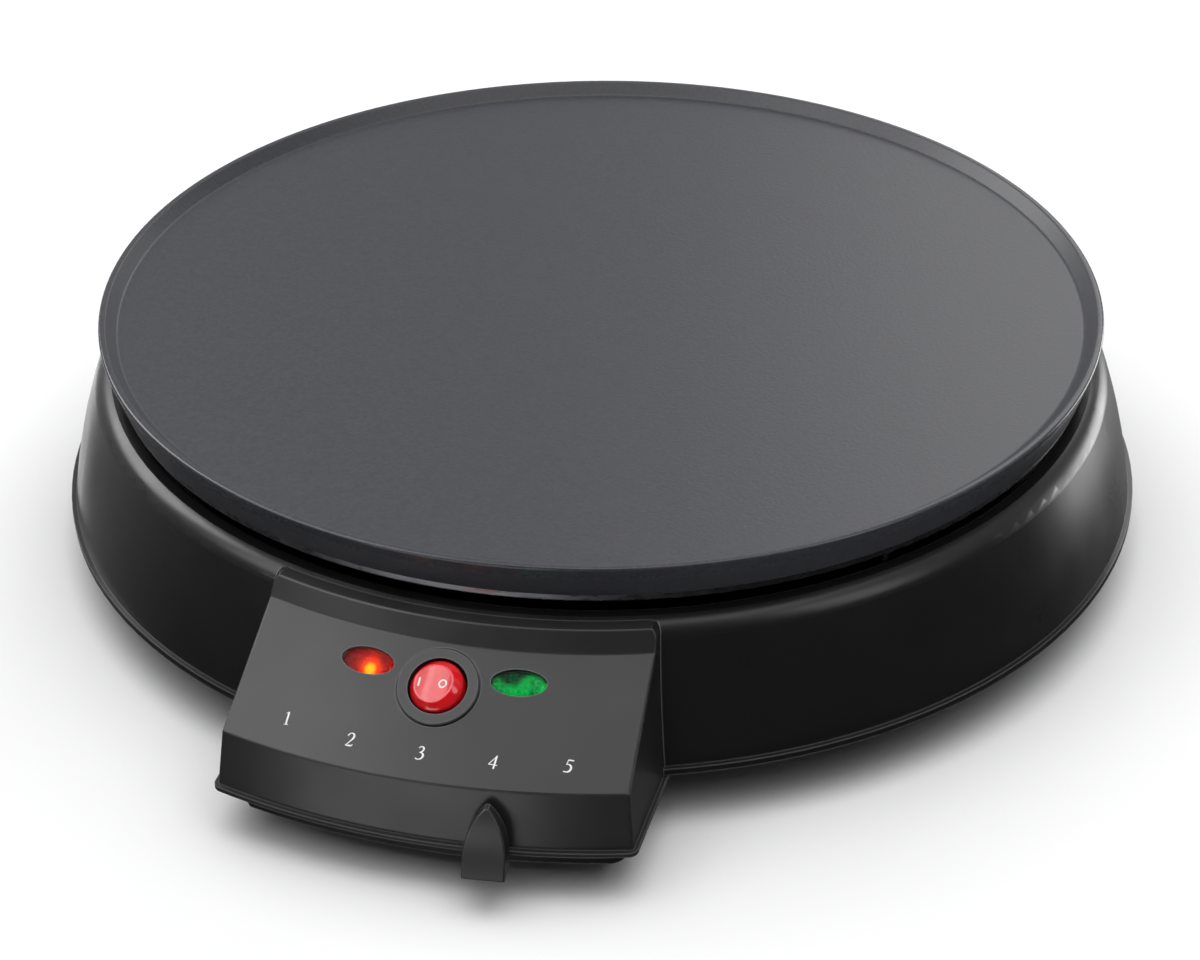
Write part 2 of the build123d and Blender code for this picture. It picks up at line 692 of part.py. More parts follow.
def make_cover():
    """Shallow tray that closes the base; its nose carries the lever's arc slot."""
    flange_z = FLANGE_Z + 0.1
    tray_depth = flange_z - COVER_Z
    side_gap = HALF_LIP + 0.5 - (HALF_LOW - HOUSING_WALL - 0.5)
    side_x = HALF_LIP + 0.5 - side_gap / 2
    with BuildPart() as cover:
        with BuildSketch(Plane.XY.offset(COVER_Z)):
            plan_outline(COVER_TRAY_R, GUIDE_HALF, GUIDE_R)
        extrude(amount=tray_depth)
        with BuildSketch(Plane.XY.offset(flange_z)):
            plan_outline(COVER_FLANGE_R, HALF_LOW - HOUSING_WALL - 0.5, GUIDE_R)
        extrude(amount=COVER_THICK)
        with BuildSketch(Plane.XY.offset(flange_z)):
            with Locations((-side_x, -HOUSING_BACK_R), (side_x, -HOUSING_BACK_R)):
                Rectangle(side_gap, 30)
        extrude(amount=COVER_THICK, mode=Mode.SUBTRACT)
        nose = cover.edges().filter_by(Axis.Z).filter_by(lambda edge: edge.center().Y < -170)
        nose = nose.filter_by(lambda edge: edge.center().Z < flange_z)
        fillet(nose, GUIDE_CORNER)
        with BuildSketch(Plane.XZ.offset(COVER_TRAY_R - 4)):
            with BuildLine():
                Polyline(
                    (-GUIDE_SLANT[0], COVER_Z),
                    (-GUIDE_SLANT[1], flange_z),
                    (-GUIDE_HALF - 4, flange_z),
                    (-GUIDE_HALF - 4, COVER_Z),
                    close=True,
                )
            make_face()
        extrude(amount=GUIDE_R, mode=Mode.SUBTRACT)
        with BuildSketch(Plane.XY.offset(COVER_Z + COVER_THICK)):
            plan_outline(COVER_TRAY_R - 2, GUIDE_HALF - GUIDE_WALL - 3, GUIDE_R - GUIDE_WALL)
        extrude(amount=20, mode=Mode.SUBTRACT)
        with BuildSketch(Plane.XY.offset(COVER_Z + COVER_THICK)):
            with Locations(*front_screw_spots()):
                Circle(3.6)
        extrude(amount=tray_depth)
        with BuildSketch(Plane.XY.offset(SLOT_LOW)):
            with BuildLine():
                Polyline(
                    (0, 0),
                    (-260 * sin(radians(SLOT_ANGLE)), -260 * cos(radians(SLOT_ANGLE))),
                    (260 * sin(radians(SLOT_ANGLE)), -260 * cos(radians(SLOT_ANGLE))),
                    close=True,
                )
            make_face()
            Circle(GUIDE_R - GUIDE_WALL - 3, mode=Mode.SUBTRACT)
        extrude(amount=SLOT_TOP - SLOT_LOW, mode=Mode.SUBTRACT)
        with BuildSketch(Plane.XY.offset(COVER_Z - 1)):
            with Locations(*ring_spots(COVER_SCREW_R, COVER_SCREW_ANGLES), *front_screw_spots()):
                Circle(1.9)
            with Locations(*ring_spots(FOOT_RING_R, FOOT_ANGLES)):
                Circle(3.1)
        extrude(amount=20, mode=Mode.SUBTRACT)
    keep(cover, "bottom_cover")

    with BuildPart() as feet:
        with BuildSketch():
            with Locations(*ring_spots(FOOT_RING_R, FOOT_ANGLES)):
                Circle(FOOT_R)
        extrude(amount=COVER_Z)
        chamfer(feet.edges().group_by(Axis.Z)[0], 0.8)
        with BuildSketch(Plane.XY.offset(COVER_Z)):
            with Locations(*ring_spots(FOOT_RING_R, FOOT_ANGLES)):
                Circle(3.0)
        extrude(amount=COVER_THICK)
        with BuildSketch(Plane.XY.offset(COVER_Z + COVER_THICK)):
            with Locations(*ring_spots(FOOT_RING_R, FOOT_ANGLES)):
                Circle(4.2)
        extrude(amount=1.6, taper=20)
    keep(feet, "rubber_feet")

    with BuildPart() as screws:
        for spots, seat in (
            (ring_spots(COVER_SCREW_R, COVER_SCREW_ANGLES), flange_z),
            (front_screw_spots(), COVER_Z),
        ):
            with BuildSketch(Plane.XY.offset(seat)):
                with Locations(*spots):
                    Circle(3.2)
            extrude(amount=-1.8)
            with BuildSketch(Plane.XY.offset(seat)):
                with Locations(*spots):
                    Circle(1.5)
            extrude(amount=FLANGE_Z + 11 - seat)
    keep(screws, "cover_screws")


# ---------------------------------------------------------------- temperature lever
LEVER_TURN = REST_ANGLE - 90
LEVER = Plane(origin=(0, 0, 0), x_dir=on_ring(1, LEVER_TURN), z_dir=(0, 0, 1))


def lever_level(height):
    """Level plane whose x axis runs out along the lever."""
    return LEVER.offset(height)


def make_lever():
    """Spindle, hub, flat arm, clip and pointed knob; all turn about the plate's axis."""
    with BuildPart() as spindle:
        with BuildSketch(Plane.XY.offset(SPINDLE_LOW)):
            Circle(SPINDLE_R)
        extrude(amount=SPINDLE_TOP - SPINDLE_LOW)
        chamfer(spindle.edges().group_by(Axis.Z)[-1], 0.5)
    keep(spindle, "thermostat_spindle")

    with BuildPart() as arm:
        with BuildSketch(lever_level(ARM_Z)):
            with BuildLine():
                Polyline((0, 7), (30, 6), (ARM_END_R, 4), (ARM_END_R, -4), (30, -6), (0, -7), close=True)
            make_face()
            Circle(8)
            Circle(SPINDLE_R + 0.02, mode=Mode.SUBTRACT)
        extrude(amount=ARM_THICK)
    keep(arm, "lever_arm")

    with BuildPart() as hub:
        with BuildSketch(Plane.XY.offset(ARM_Z + ARM_THICK)):
            Circle(7)
            Circle(SPINDLE_R + 0.02, mode=Mode.SUBTRACT)
        extrude(amount=6.2)
    keep(hub, "lever_hub")

    with BuildPart() as clip:
        with BuildSketch(Plane.XY.offset(ARM_Z - 0.8)):
            Circle(5.5)
            Circle(SPINDLE_R + 0.02, mode=Mode.SUBTRACT)
        extrude(amount=0.8)
    keep(clip, "spindle_clip")


def make_knob():
    """Pointed-arch pointer in front of the housing's wall, leaning back to its tip."""
    tip_thick = 2.0
    hollow = 1.0
    front = Plane(origin=LEVER.location.position, x_dir=LEVER.y_dir, z_dir=LEVER.x_dir)
    side = Plane(origin=(0, 0, 0), x_dir=LEVER.x_dir, z_dir=-LEVER.y_dir)
    tip_back = KNOB_BACK_R - KNOB_LEAN
    with BuildPart() as knob:
        with BuildSketch(front.offset(tip_back)):
            with BuildLine():
                Polyline((-KNOB_HALF, KNOB_SHOULDER), (-KNOB_HALF, KNOB_LOW), (KNOB_HALF, KNOB_LOW))
                Line((KNOB_HALF, KNOB_LOW), (KNOB_HALF, KNOB_SHOULDER))
                right = TangentArc((KNOB_HALF, KNOB_SHOULDER), (0.5, KNOB_TIP), tangent=(0, 1))
                left = TangentArc((-KNOB_HALF, KNOB_SHOULDER), (-0.5, KNOB_TIP), tangent=(0, 1))
                Line(right @ 1, left @ 1)
            make_face()
        extrude(amount=KNOB_FRONT_R - tip_back)
        with BuildSketch(side):
            with BuildLine():
                foot = (KNOB_FRONT_R, KNOB_LOW)
                tip = (tip_back + tip_thick, KNOB_TIP + 1)
                back = (tip_back, KNOB_TIP + 1)
                Polyline(back, (KNOB_BACK_R, LIP_Z + LIP_THICK + 1), (KNOB_BACK_R, KNOB_LOW), foot)
                middle = ((foot[0] + tip[0]) / 2 + hollow, (foot[1] + tip[1]) / 2)
                ThreePointArc(foot, middle, tip)
                Line(tip, back)
            make_face()
        extrude(amount=2 * KNOB_HALF, both=True, mode=Mode.INTERSECT)
        outer = knob.faces().sort_by(Axis(LEVER.location.position, LEVER.x_dir))[-1].edges()
        fillet(outer, KNOB_EDGE)
        with BuildSketch(lever_level(ARM_Z - 0.02)):
            with Locations(((KNOB_BACK_R + ARM_END_R) / 2, 0)):
                Rectangle(ARM_END_R - KNOB_BACK_R + 0.4, 8.2)
        extrude(amount=ARM_THICK + 0.04, mode=Mode.SUBTRACT)
    keep(knob, "lever_knob")


# ---------------------------------------------------------------- rocker switch
def make_switch():
    """Round rocker switch: bezel and barrel, terminals, and a rocker resting on its I side."""
    plane = face_plane(SWITCH_R)
    pivot = plane.offset(-PIVOT_DEPTH)
    across = Plane(origin=pivot.origin, x_dir=plane.x_dir, z_dir=plane.y_dir)
    with BuildPart() as bezel:
        with BuildSketch(plane.offset(-BEZEL_SEAT)):
            Circle(BEZEL_R)
        extrude(amount=BEZEL_SEAT + BEZEL_TOP)
        top_edge = bezel.edges().sort_by(Axis(plane.origin, plane.z_dir))[-1]
        chamfer(top_edge, BEZEL_R - BEZEL_TOP_R)
        with BuildSketch(plane.offset(-BARREL_DEPTH)):
            Circle(BARREL_R)
        extrude(amount=BARREL_DEPTH - BEZEL_SEAT)
        with BuildSketch(plane.offset(-9.4)):
            Circle(WINDOW_R)
        extrude(amount=20, mode=Mode.SUBTRACT)
        with BuildSketch(across):
            Circle(TRUNNION_R + RUNNING)
        extrude(amount=9.4, both=True, mode=Mode.SUBTRACT)
    keep(bezel, "switch_body")

    with BuildPart() as blades:
        with BuildSketch(plane.offset(-BARREL_DEPTH)):
            with Locations((-5, 0), (0, -4), (5, 0)):
                Rectangle(0.8, 4.8)
        extrude(amount=-7)
    keep(blades, "switch_terminals")

    with BuildPart() as level_rocker:
        with BuildSketch(pivot.offset(-ROCKER_LOW)):
            Circle(ROCKER_R)
        extrude(amount=ROCKER_LOW + ROCKER_SHOULDER)
        with Locations(pivot):
            Sphere(ROCKER_BALL_R, mode=Mode.INTERSECT)
        with BuildSketch(pivot.offset(ROCKER_SHOULDER)):
            Circle(sqrt(ROCKER_BALL_R**2 - ROCKER_SHOULDER**2))
        with BuildSketch(pivot.offset(ROCKER_TOP + PIVOT_DEPTH)):
            Circle(ROCKER_TOP_R)
        loft()
        with BuildSketch(across):
            with Locations((0, ROCKER_TOP + PIVOT_DEPTH + DISH_R - DISH_DEPTH)):
                Circle(DISH_R)
        extrude(amount=12, both=True, mode=Mode.SUBTRACT)
        with BuildSketch(across):
            Circle(TRUNNION_R)
        extrude(amount=9.2, both=True)
    with BuildPart() as rocker:
        add(level_rocker.part.rotate(Axis(pivot.origin, plane.y_dir), -ROCKER_TILT))
    keep(rocker, "switch_rocker")


# ---------------------------------------------------------------- pilot lamps
def make_lamps():
    """Elliptical lenses in the face, each with a neon tube in a holder behind it."""
    for name, side in (("amber_lens", -1), ("green_lens", 1)):
        plane = face_plane(LAMP_R, side * LAMP_ANGLE)
        with BuildPart() as lens:
            with BuildSketch(plane.offset(-2.9)):
                Ellipse(LENS_HALF_X, LENS_HALF_Y)
            extrude(amount=3.4)
            fillet(lens.faces().sort_by(plane.location.x_axis).edges().filter_by(GeomType.ELLIPSE), 0.45)
            with BuildSketch(plane.offset(-4.4)):
                Ellipse(LENS_HALF_X + 1.4, LENS_HALF_Y + 1.4)
            extrude(amount=1.5)
        keep(lens, name)

    with BuildPart() as tubes:
        for side in (-1, 1):
            plane = face_plane(LAMP_R, side * LAMP_ANGLE)
            middle = plane.offset(-8.4)
            with BuildSketch(Plane(origin=middle.origin, x_dir=plane.z_dir, z_dir=plane.x_dir)):
                Circle(2.4)
            extrude(amount=5.5, both=True)
    keep(tubes, "neon_tubes")

    with BuildPart() as holders:
        for side in (-1, 1):
            plane = face_plane(LAMP_R, side * LAMP_ANGLE)
            with BuildSketch(plane.offset(-13)):
                Ellipse(LENS_HALF_X + 1.4, LENS_HALF_Y + 1.4)
            extrude(amount=8.5)
            with BuildSketch(plane.offset(-11.4)):
                Ellipse(LENS_HALF_X + 0.2, LENS_HALF_Y + 0.2)
            extrude(amount=10, mode=Mode.SUBTRACT)
    keep(holders, "lamp_holders")


# ---------------------------------------------------------------- supply side
BLOCK_Y = 100.0
BLOCK_LOW = 20.0


def make_supply():
    """Cord gland in the rear wall, clamp and terminal block under the well's floor."""
    floor_low = WELL_FLOOR - WALL
    with BuildPart() as gland:
        with BuildSketch(gland_plane(GLAND_IN_Y)):
            Circle(7.4)
        extrude(amount=4)
        with BuildSketch(gland_plane(GLAND_IN_Y)):
            Circle(GLAND_NECK_R)
        extrude(amount=GLAND_END_Y - GLAND_IN_Y)
        with BuildSketch(gland_plane(GLAND_PAD_Y)):
            Circle(8.6)
        extrude(amount=GLAND_END_Y - GLAND_PAD_Y)
        fillet(gland.edges().group_by(Axis.Y)[-1], 0.8)
        with BuildSketch(gland_plane(GLAND_IN_Y - 1)):
            Circle(GLAND_BORE_R)
        extrude(amount=40, mode=Mode.SUBTRACT)
    keep(gland, "cord_gland")

    with BuildPart() as clamp:
        with BuildSketch(Plane.XY.offset(GLAND_Z - 7)):
            with Locations((0, 136)):
                RectangleRounded(28, 8, 2)
        extrude(amount=floor_low - GLAND_Z + 7)
        with BuildSketch(gland_plane(130)):
            Circle(GLAND_BORE_R - 0.2)
        extrude(amount=12, mode=Mode.SUBTRACT)
    keep(clamp, "cord_clamp")

    with BuildPart() as block:
        with BuildSketch(Plane.XY.offset(BLOCK_LOW)):
            with Locations((-46, BLOCK_Y)):
                RectangleRounded(38, 18, 2)
        extrude(amount=floor_low - BLOCK_LOW)
        with BuildSketch(Plane.XZ.offset(-BLOCK_Y - 10)):
            with Locations((-58, 26), (-46, 26), (-34, 26)):
                Circle(2.0)
        extrude(amount=20, mode=Mode.SUBTRACT)
    keep(block, "terminal_block")

    with BuildPart() as screws:
        with BuildSketch(Plane.XY.offset(BLOCK_LOW)):
            with Locations((-58, BLOCK_Y), (-46, BLOCK_Y), (-34, BLOCK_Y)):
                Circle(2.2)
        extrude(amount=-1.4)
    keep(screws, "terminal_screws")


WIRE_R = 1.1
BLADE_TIP = face_plane(SWITCH_R).offset(-BARREL_DEPTH - 7.3).origin
WIRES = {
    "live_wire": [
        (-58, BLOCK_Y - 9.5, 26),
        (-62, 66, 25),
        (-78, 20, 24),
        (-80, -36, 24),
        (-58, -92, 23),
        (-24, -132, 22),
        (-5, BLADE_TIP.Y + 4, BLADE_TIP.Z - 1),
    ],
    "neutral_wire": [
        (-34, BLOCK_Y - 9.5, 26),
        (-30, 80, 26),
        (-10, 72, 29),
        (0, 74, 37),
        (-10, 84, 39.5),
        (-24, 90.5, 38.5),
    ],
    "load_wire": [
        (5, BLADE_TIP.Y + 4, BLADE_TIP.Z - 1),
        (14, -126, 22),
        (30, -84, 23),
        (40, -54, 28),
        (38, -34, 38),
        (30, -18, 46),
        (26, -4, 54.0),
    ],
}


def make_wires():
    """Insulated wires between block, switch, thermostat and element."""
    for name, points in WIRES.items():
        with BuildPart() as wire:
            add(tube(tube_path(points), WIRE_R))
        keep(wire, name)


make_plate()
make_element()
make_element_clips()
make_reflector()
make_studs()
make_thermostat()
make_base()
make_control_housing()
make_cover()
make_lever()
make_knob()
make_switch()
make_lamps()
make_supply()
make_wires()
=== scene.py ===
"""Round electric crepe griddle: camera, light, materials and finely modelled small pieces.

Lengths are metres, written as so many MM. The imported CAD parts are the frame. Most are kept and get
materials; the plate, rocker, lamp lenses, feet and screws are rebuilt here in finer detail.
"""

import json
from math import atan2, cos, pi, radians, sin, sqrt, tan

import bmesh
import bpy
from mathutils import Matrix, Vector


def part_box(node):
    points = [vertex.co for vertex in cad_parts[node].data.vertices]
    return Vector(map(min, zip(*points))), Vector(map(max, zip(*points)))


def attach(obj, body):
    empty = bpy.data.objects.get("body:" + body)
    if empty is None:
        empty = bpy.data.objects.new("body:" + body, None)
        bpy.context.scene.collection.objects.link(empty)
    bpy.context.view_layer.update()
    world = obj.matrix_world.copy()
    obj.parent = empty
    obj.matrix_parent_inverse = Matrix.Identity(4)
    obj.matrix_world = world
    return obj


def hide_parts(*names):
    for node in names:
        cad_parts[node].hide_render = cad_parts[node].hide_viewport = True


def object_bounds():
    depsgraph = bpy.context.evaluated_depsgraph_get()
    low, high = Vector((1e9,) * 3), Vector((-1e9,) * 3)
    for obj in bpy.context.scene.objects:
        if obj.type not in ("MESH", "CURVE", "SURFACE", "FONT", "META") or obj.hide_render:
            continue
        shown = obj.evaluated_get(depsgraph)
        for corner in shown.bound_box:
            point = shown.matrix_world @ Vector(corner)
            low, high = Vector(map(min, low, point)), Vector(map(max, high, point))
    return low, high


MM = 0.001
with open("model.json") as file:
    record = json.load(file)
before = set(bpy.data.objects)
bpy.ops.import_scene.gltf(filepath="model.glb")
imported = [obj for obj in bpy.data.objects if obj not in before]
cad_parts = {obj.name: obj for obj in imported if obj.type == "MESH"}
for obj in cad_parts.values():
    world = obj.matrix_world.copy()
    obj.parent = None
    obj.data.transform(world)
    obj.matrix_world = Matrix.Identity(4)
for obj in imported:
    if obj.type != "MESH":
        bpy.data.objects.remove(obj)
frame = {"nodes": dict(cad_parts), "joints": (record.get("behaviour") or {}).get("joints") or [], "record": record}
cad_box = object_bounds()

# Camera: where it stands about the plate's rim, its small turns about its own axes, and its lens
CAMERA_COMPASS = radians(15.05)
CAMERA_RISE = radians(28.758)
CAMERA_AWAY = 974.8 * MM
CAMERA_SWING = radians(0.036)
CAMERA_NOD = radians(-3.313)
CAMERA_ROLL = radians(-0.390)
CAMERA_LENS_MM = 97.13
SENSOR_MM = 36

# Middle of the lit object, where the lights aim, and the gap that keeps the floor off the feet
LIGHT_AIM_Z = 40 * MM
FLOOR_HALF = 6.0
FLOOR_GAP = 0.05 * MM

# ---------------------------------------------------------------- places from the frame
PLATE_LOW, PLATE_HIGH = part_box("griddle_plate")
AXIS_Y = (PLATE_LOW.y + PLATE_HIGH.y) / 2
RIM_Z = PLATE_HIGH.z
AXIS = Vector((0, AXIS_Y, 0))
JOINTS = {joint["name"]: joint for joint in frame["joints"]}

# The rim's rounded edge, from the inner radius where the polish starts
RIM_EDGE = (148.6 * MM, 149.6 * MM)

# Control face: a cone about the plate's axis, from its top edge to its low edge (radius, height)
FACE_TOP = (156.5 * MM, 51.3 * MM)
FACE_LOW = (190.9 * MM, 31.3 * MM)
SLOPE = atan2(FACE_TOP[1] - FACE_LOW[1], FACE_LOW[0] - FACE_TOP[0])

# Scale
DIGIT_STEP = radians(6.1)
DIGIT_HEIGHT = 3.8 * MM
DIGIT_DOWN = 31.8 * MM

# Rocker, measured from its pivot, level
ROCKER_TILT = radians(9)
ROCKER_TOP = 5.2 * MM
DISH_R = 42.0 * MM
DISH_DEPTH = 0.4 * MM
DISH_FADE_MM = 2.0
ROCKER_SPOKES = 96
PIN_PROFILE = ((0.9, 7.0), (0.9, 9.0), (0.7, 9.2))

# The rocker's I and O: place across the top, half height, half width of the stroke
MARK_ON_X, MARK_ON_HALF, MARK_ON_PEN = -4.1 * MM, 1.25 * MM, 0.24 * MM
MARK_OFF_X, MARK_OFF_HALF, MARK_OFF_PEN = 2.6 * MM, (1.0 * MM, 1.05 * MM), 0.22 * MM
MARK_OFF_STEPS = 48

# Lamps: the dome's height over the face, its step and underside, and the facets' floor
LAMP_ANGLE = radians(7.3)
LAMP_R = 164.2 * MM
LENS_HALF = (7.3 * MM, 3.65 * MM)
DOME_RISE = 0.42 * MM
DOME_STEP = -0.25 * MM
DOME_CHAMFER = -1.0 * MM
DOME_BACK = -1.15 * MM
CUP_TOP = -1.2 * MM
CUP_FLOOR = -2.4 * MM
CUP_WALL = 0.3 * MM
FACET_COLUMNS, FACET_ROWS = 9, 5
FACET_TALL, FACET_LOW = 0.85 * MM, 0.55 * MM
SPARK_PLACE = Vector((0.6 * MM, -1.3 * MM, -1.9 * MM))
SPARK_REACH = 7 * MM


# ---------------------------------------------------------------- camera, floor and light
def make_camera():
    """Camera fitted to the plate's and base's rims: in front, a little right of the controls."""
    level = cos(CAMERA_RISE)
    back = Vector((sin(CAMERA_COMPASS) * level, -cos(CAMERA_COMPASS) * level, sin(CAMERA_RISE)))
    right = Vector((cos(CAMERA_COMPASS), sin(CAMERA_COMPASS), 0))
    up = back.cross(right)
    place = AXIS + Vector((0, 0, RIM_Z)) + back * CAMERA_AWAY
    for which, angle in (("up", CAMERA_SWING), ("right", CAMERA_NOD), ("back", CAMERA_ROLL)):
        spin_about = {"right": right, "up": up, "back": back}[which]
        spin = Matrix.Rotation(angle, 3, spin_about)
        right, up, back = spin @ right, spin @ up, spin @ back
    lens = bpy.data.cameras.new("camera")
    lens.sensor_width = SENSOR_MM
    lens.lens = CAMERA_LENS_MM
    lens.clip_start = 0.01
    camera = bpy.data.objects.new("camera", lens)
    turn = Matrix((right, up, back)).transposed().to_4x4()
    camera.matrix_world = Matrix.Translation(place) @ turn
    bpy.context.scene.collection.objects.link(camera)
    bpy.context.scene.camera = camera


def softbox(name, compass, rise, away, size, bright, lights=True, reflects=True):
    """Rectangular light aimed at the plate; compass turns from the front (-Y) towards +X."""
    target = AXIS + Vector((0, 0, LIGHT_AIM_Z))
    ahead = cos(radians(rise))
    across, forward = sin(radians(compass)), -cos(radians(compass))
    way = Vector((across * ahead, forward * ahead, sin(radians(rise))))
    light = bpy.data.lights.new(name, "AREA")
    light.shape = "RECTANGLE"
    light.size, light.size_y = size
    light.energy = bright * pi * size[0] * size[1]
    lamp = bpy.data.objects.new(name, light)
    turn = way.to_track_quat("Z", "Y").to_matrix().to_4x4()
    lamp.matrix_world = Matrix.Translation(target + way * away) @ turn
    lamp.visible_diffuse = lights
    lamp.visible_glossy = reflects
    bpy.context.scene.collection.objects.link(lamp)


def fill_ramp(ramp, stops):
    """Gives a colour ramp its stops, the first of them at 0."""
    elements = ramp.color_ramp.elements
    elements.remove(elements[1])
    elements[0].color = (*stops[0][1], 1)
    for position, color in stops[1:]:
        elements.new(position).color = (*color, 1)


def make_world():
    """Dim studio: bright above and to the rear left, dark to the front right."""
    world = bpy.data.worlds.new("studio")
    world.use_nodes = True
    tree = world.node_tree
    way = tree.nodes.new("ShaderNodeTexCoord")
    lean = tree.nodes.new("ShaderNodeVectorMath")
    lean.operation = "DOT_PRODUCT"
    lean.inputs[1].default_value = (-0.3, 0.6, 0.6)
    ramp = tree.nodes.new("ShaderNodeValToRGB")
    shift = tree.nodes.new("ShaderNodeMapRange")
    shift.inputs["From Min"].default_value = -0.4
    levels = ((0.0, 0.02), (0.3, 0.06), (0.55, 0.36), (1.0, 0.55))
    fill_ramp(ramp, [(position, (level, level, 1.02 * level)) for position, level in levels])
    tree.links.new(way.outputs["Generated"], lean.inputs[0])
    tree.links.new(lean.outputs["Value"], shift.inputs["Value"])
    tree.links.new(shift.outputs["Result"], ramp.inputs["Fac"])
    tree.links.new(ramp.outputs["Color"], tree.nodes["Background"].inputs["Color"])
    bpy.context.scene.world = world


def make_light():
    """Soft boxes above and behind, a fill, and cards seen only in reflections."""
    softbox("top_box", 0, 88, 1.5, (1.7, 1.1), 1.3)
    softbox("back_box", 172, 30, 1.6, (0.8, 0.5), 2.2)
    softbox("fill", 0, 89, 2.0, (4.0, 4.0), 1.15, reflects=False)
    softbox("front_card", -52, 46, 1.5, (1.0, 0.9), 2.6, lights=False)
    softbox("edge_strip", -20, 14, 1.5, (1.4, 0.10), 6.0, lights=False)
    softbox("right_front_card", 72, 36, 1.5, (0.5, 0.8), 2.2, lights=False)
    softbox("left_card", -112, 36, 1.5, (0.8, 0.9), 4.5, lights=False)
    softbox("left_low_card", -145, -20, 1.5, (0.8, 0.7), 1.3, lights=False)
    softbox("right_card", 138, -2, 1.5, (0.8, 0.7), 5.0, lights=False)
    softbox("front_low_card", -15, -16, 1.5, (1.0, 0.4), 2.6, lights=False)
    make_world()
    bpy.context.scene.view_settings.view_transform = "Standard"


# ---------------------------------------------------------------- materials
class Finish:
    """A Principled material built up step by step from object coordinates."""

    def __init__(self, name, color, rough, **sockets):
        self.material = bpy.data.materials.new(name)
        self.material.use_nodes = True
        self.tree = self.material.node_tree
        self.shader = self.tree.nodes["Principled BSDF"]
        self.set("Base Color", (*color, 1))
        self.set("Roughness", rough)
        for socket, value in sockets.items():
            self.set(socket.replace("_", " "), value)
        self.where = self.node("ShaderNodeTexCoord").outputs["Object"]
        self.height = None

    def set(self, socket, value):
        self.shader.inputs[socket].default_value = value

    def node(self, kind, **values):
        made = self.tree.nodes.new(kind)
        for name, value in values.items():
            setattr(made, name, value)
        return made

    def link(self, source, target):
        self.tree.links.new(source, target)

    def noise(self, scale, detail=3.0, stretch=(1, 1, 1)):
        """Noise over the object; scale counts features per metre."""
        where = self.where
        if stretch != (1, 1, 1):
            spread = self.node("ShaderNodeMapping")
            spread.inputs["Scale"].default_value = stretch
            self.link(self.where, spread.inputs["Vector"])
            where = spread.outputs["Vector"]
        made = self.node("ShaderNodeTexNoise")
        made.inputs["Scale"].default_value = scale
        made.inputs["Detail"].default_value = detail
        self.link(where, made.inputs["Vector"])
        return made.outputs["Fac"]

    def cells(self, scale):
        """Soft round cells, as in a sprayed or pebbled coat."""
        made = self.node("ShaderNodeTexVoronoi", feature="SMOOTH_F1")
        made.inputs["Scale"].default_value = scale
        self.link(self.where, made.inputs["Vector"])
        return made.outputs["Distance"]

    def spread(self, source, low, high, inner=(0.3, 0.7)):
        """A value turned into the range from low to high."""
        made = self.node("ShaderNodeMapRange")
        made.inputs["From Min"].default_value = inner[0]
        made.inputs["From Max"].default_value = inner[1]
        made.inputs["To Min"].default_value = low
        made.inputs["To Max"].default_value = high
        self.link(source, made.inputs["Value"])
        return made.outputs["Result"]

    def tint(self, source, first, second):
        """Base colour that wanders between two near colours."""
        ramp = self.node("ShaderNodeValToRGB")
        ramp.color_ramp.elements[0].position = 0.35
        ramp.color_ramp.elements[1].position = 0.65
        ramp.color_ramp.elements[0].color = (*first, 1)
        ramp.color_ramp.elements[1].color = (*second, 1)
        self.link(source, ramp.inputs["Fac"])
        self.link(ramp.outputs["Color"], self.shader.inputs["Base Color"])

    def rough(self, source, low, high):
        """Roughness that wanders between two values."""
        self.link(self.spread(source, low, high), self.shader.inputs["Roughness"])

    def painted_edge_highlight(self, width, color):
        """Painted edge highlight: lighter base colour on edges, where a rounded-over normal would leave the
        surface's own.
        """
        bevel = self.node("ShaderNodeBevel", samples=6)
        bevel.inputs["Radius"].default_value = width
        agree = self.node("ShaderNodeVectorMath", operation="DOT_PRODUCT")
        self.link(bevel.outputs["Normal"], agree.inputs[0])
        self.link(self.node("ShaderNodeNewGeometry").outputs["Normal"], agree.inputs[1])
        edge_highlight = self.spread(agree.outputs["Value"], 0.0, 1.0, (0.995, 0.90))
        mix = self.node("ShaderNodeMix", data_type="RGBA")
        first = next(socket for socket in mix.inputs if socket.identifier == "A_Color")
        second = next(socket for socket in mix.inputs if socket.identifier == "B_Color")
        result = next(socket for socket in mix.outputs if socket.identifier == "Result_Color")
        base = self.shader.inputs["Base Color"]
        self.link(edge_highlight, mix.inputs["Factor"])
        self.link(base.links[0].from_socket, first)
        # Colour of the painted edge highlight
        second.default_value = (*color, 1)
        self.link(result, base)

    def bump(self, source, depth, strength=1.0):
        """Relief of a real depth in metres, laid over any relief already there."""
        made = self.node("ShaderNodeBump")
        made.inputs["Strength"].default_value = strength
        made.inputs["Distance"].default_value = depth
        self.link(source, made.inputs["Height"])
        if self.height is not None:
            self.link(self.height, made.inputs["Normal"])
        self.height = made.outputs["Normal"]
        self.link(self.height, self.shader.inputs["Normal"])


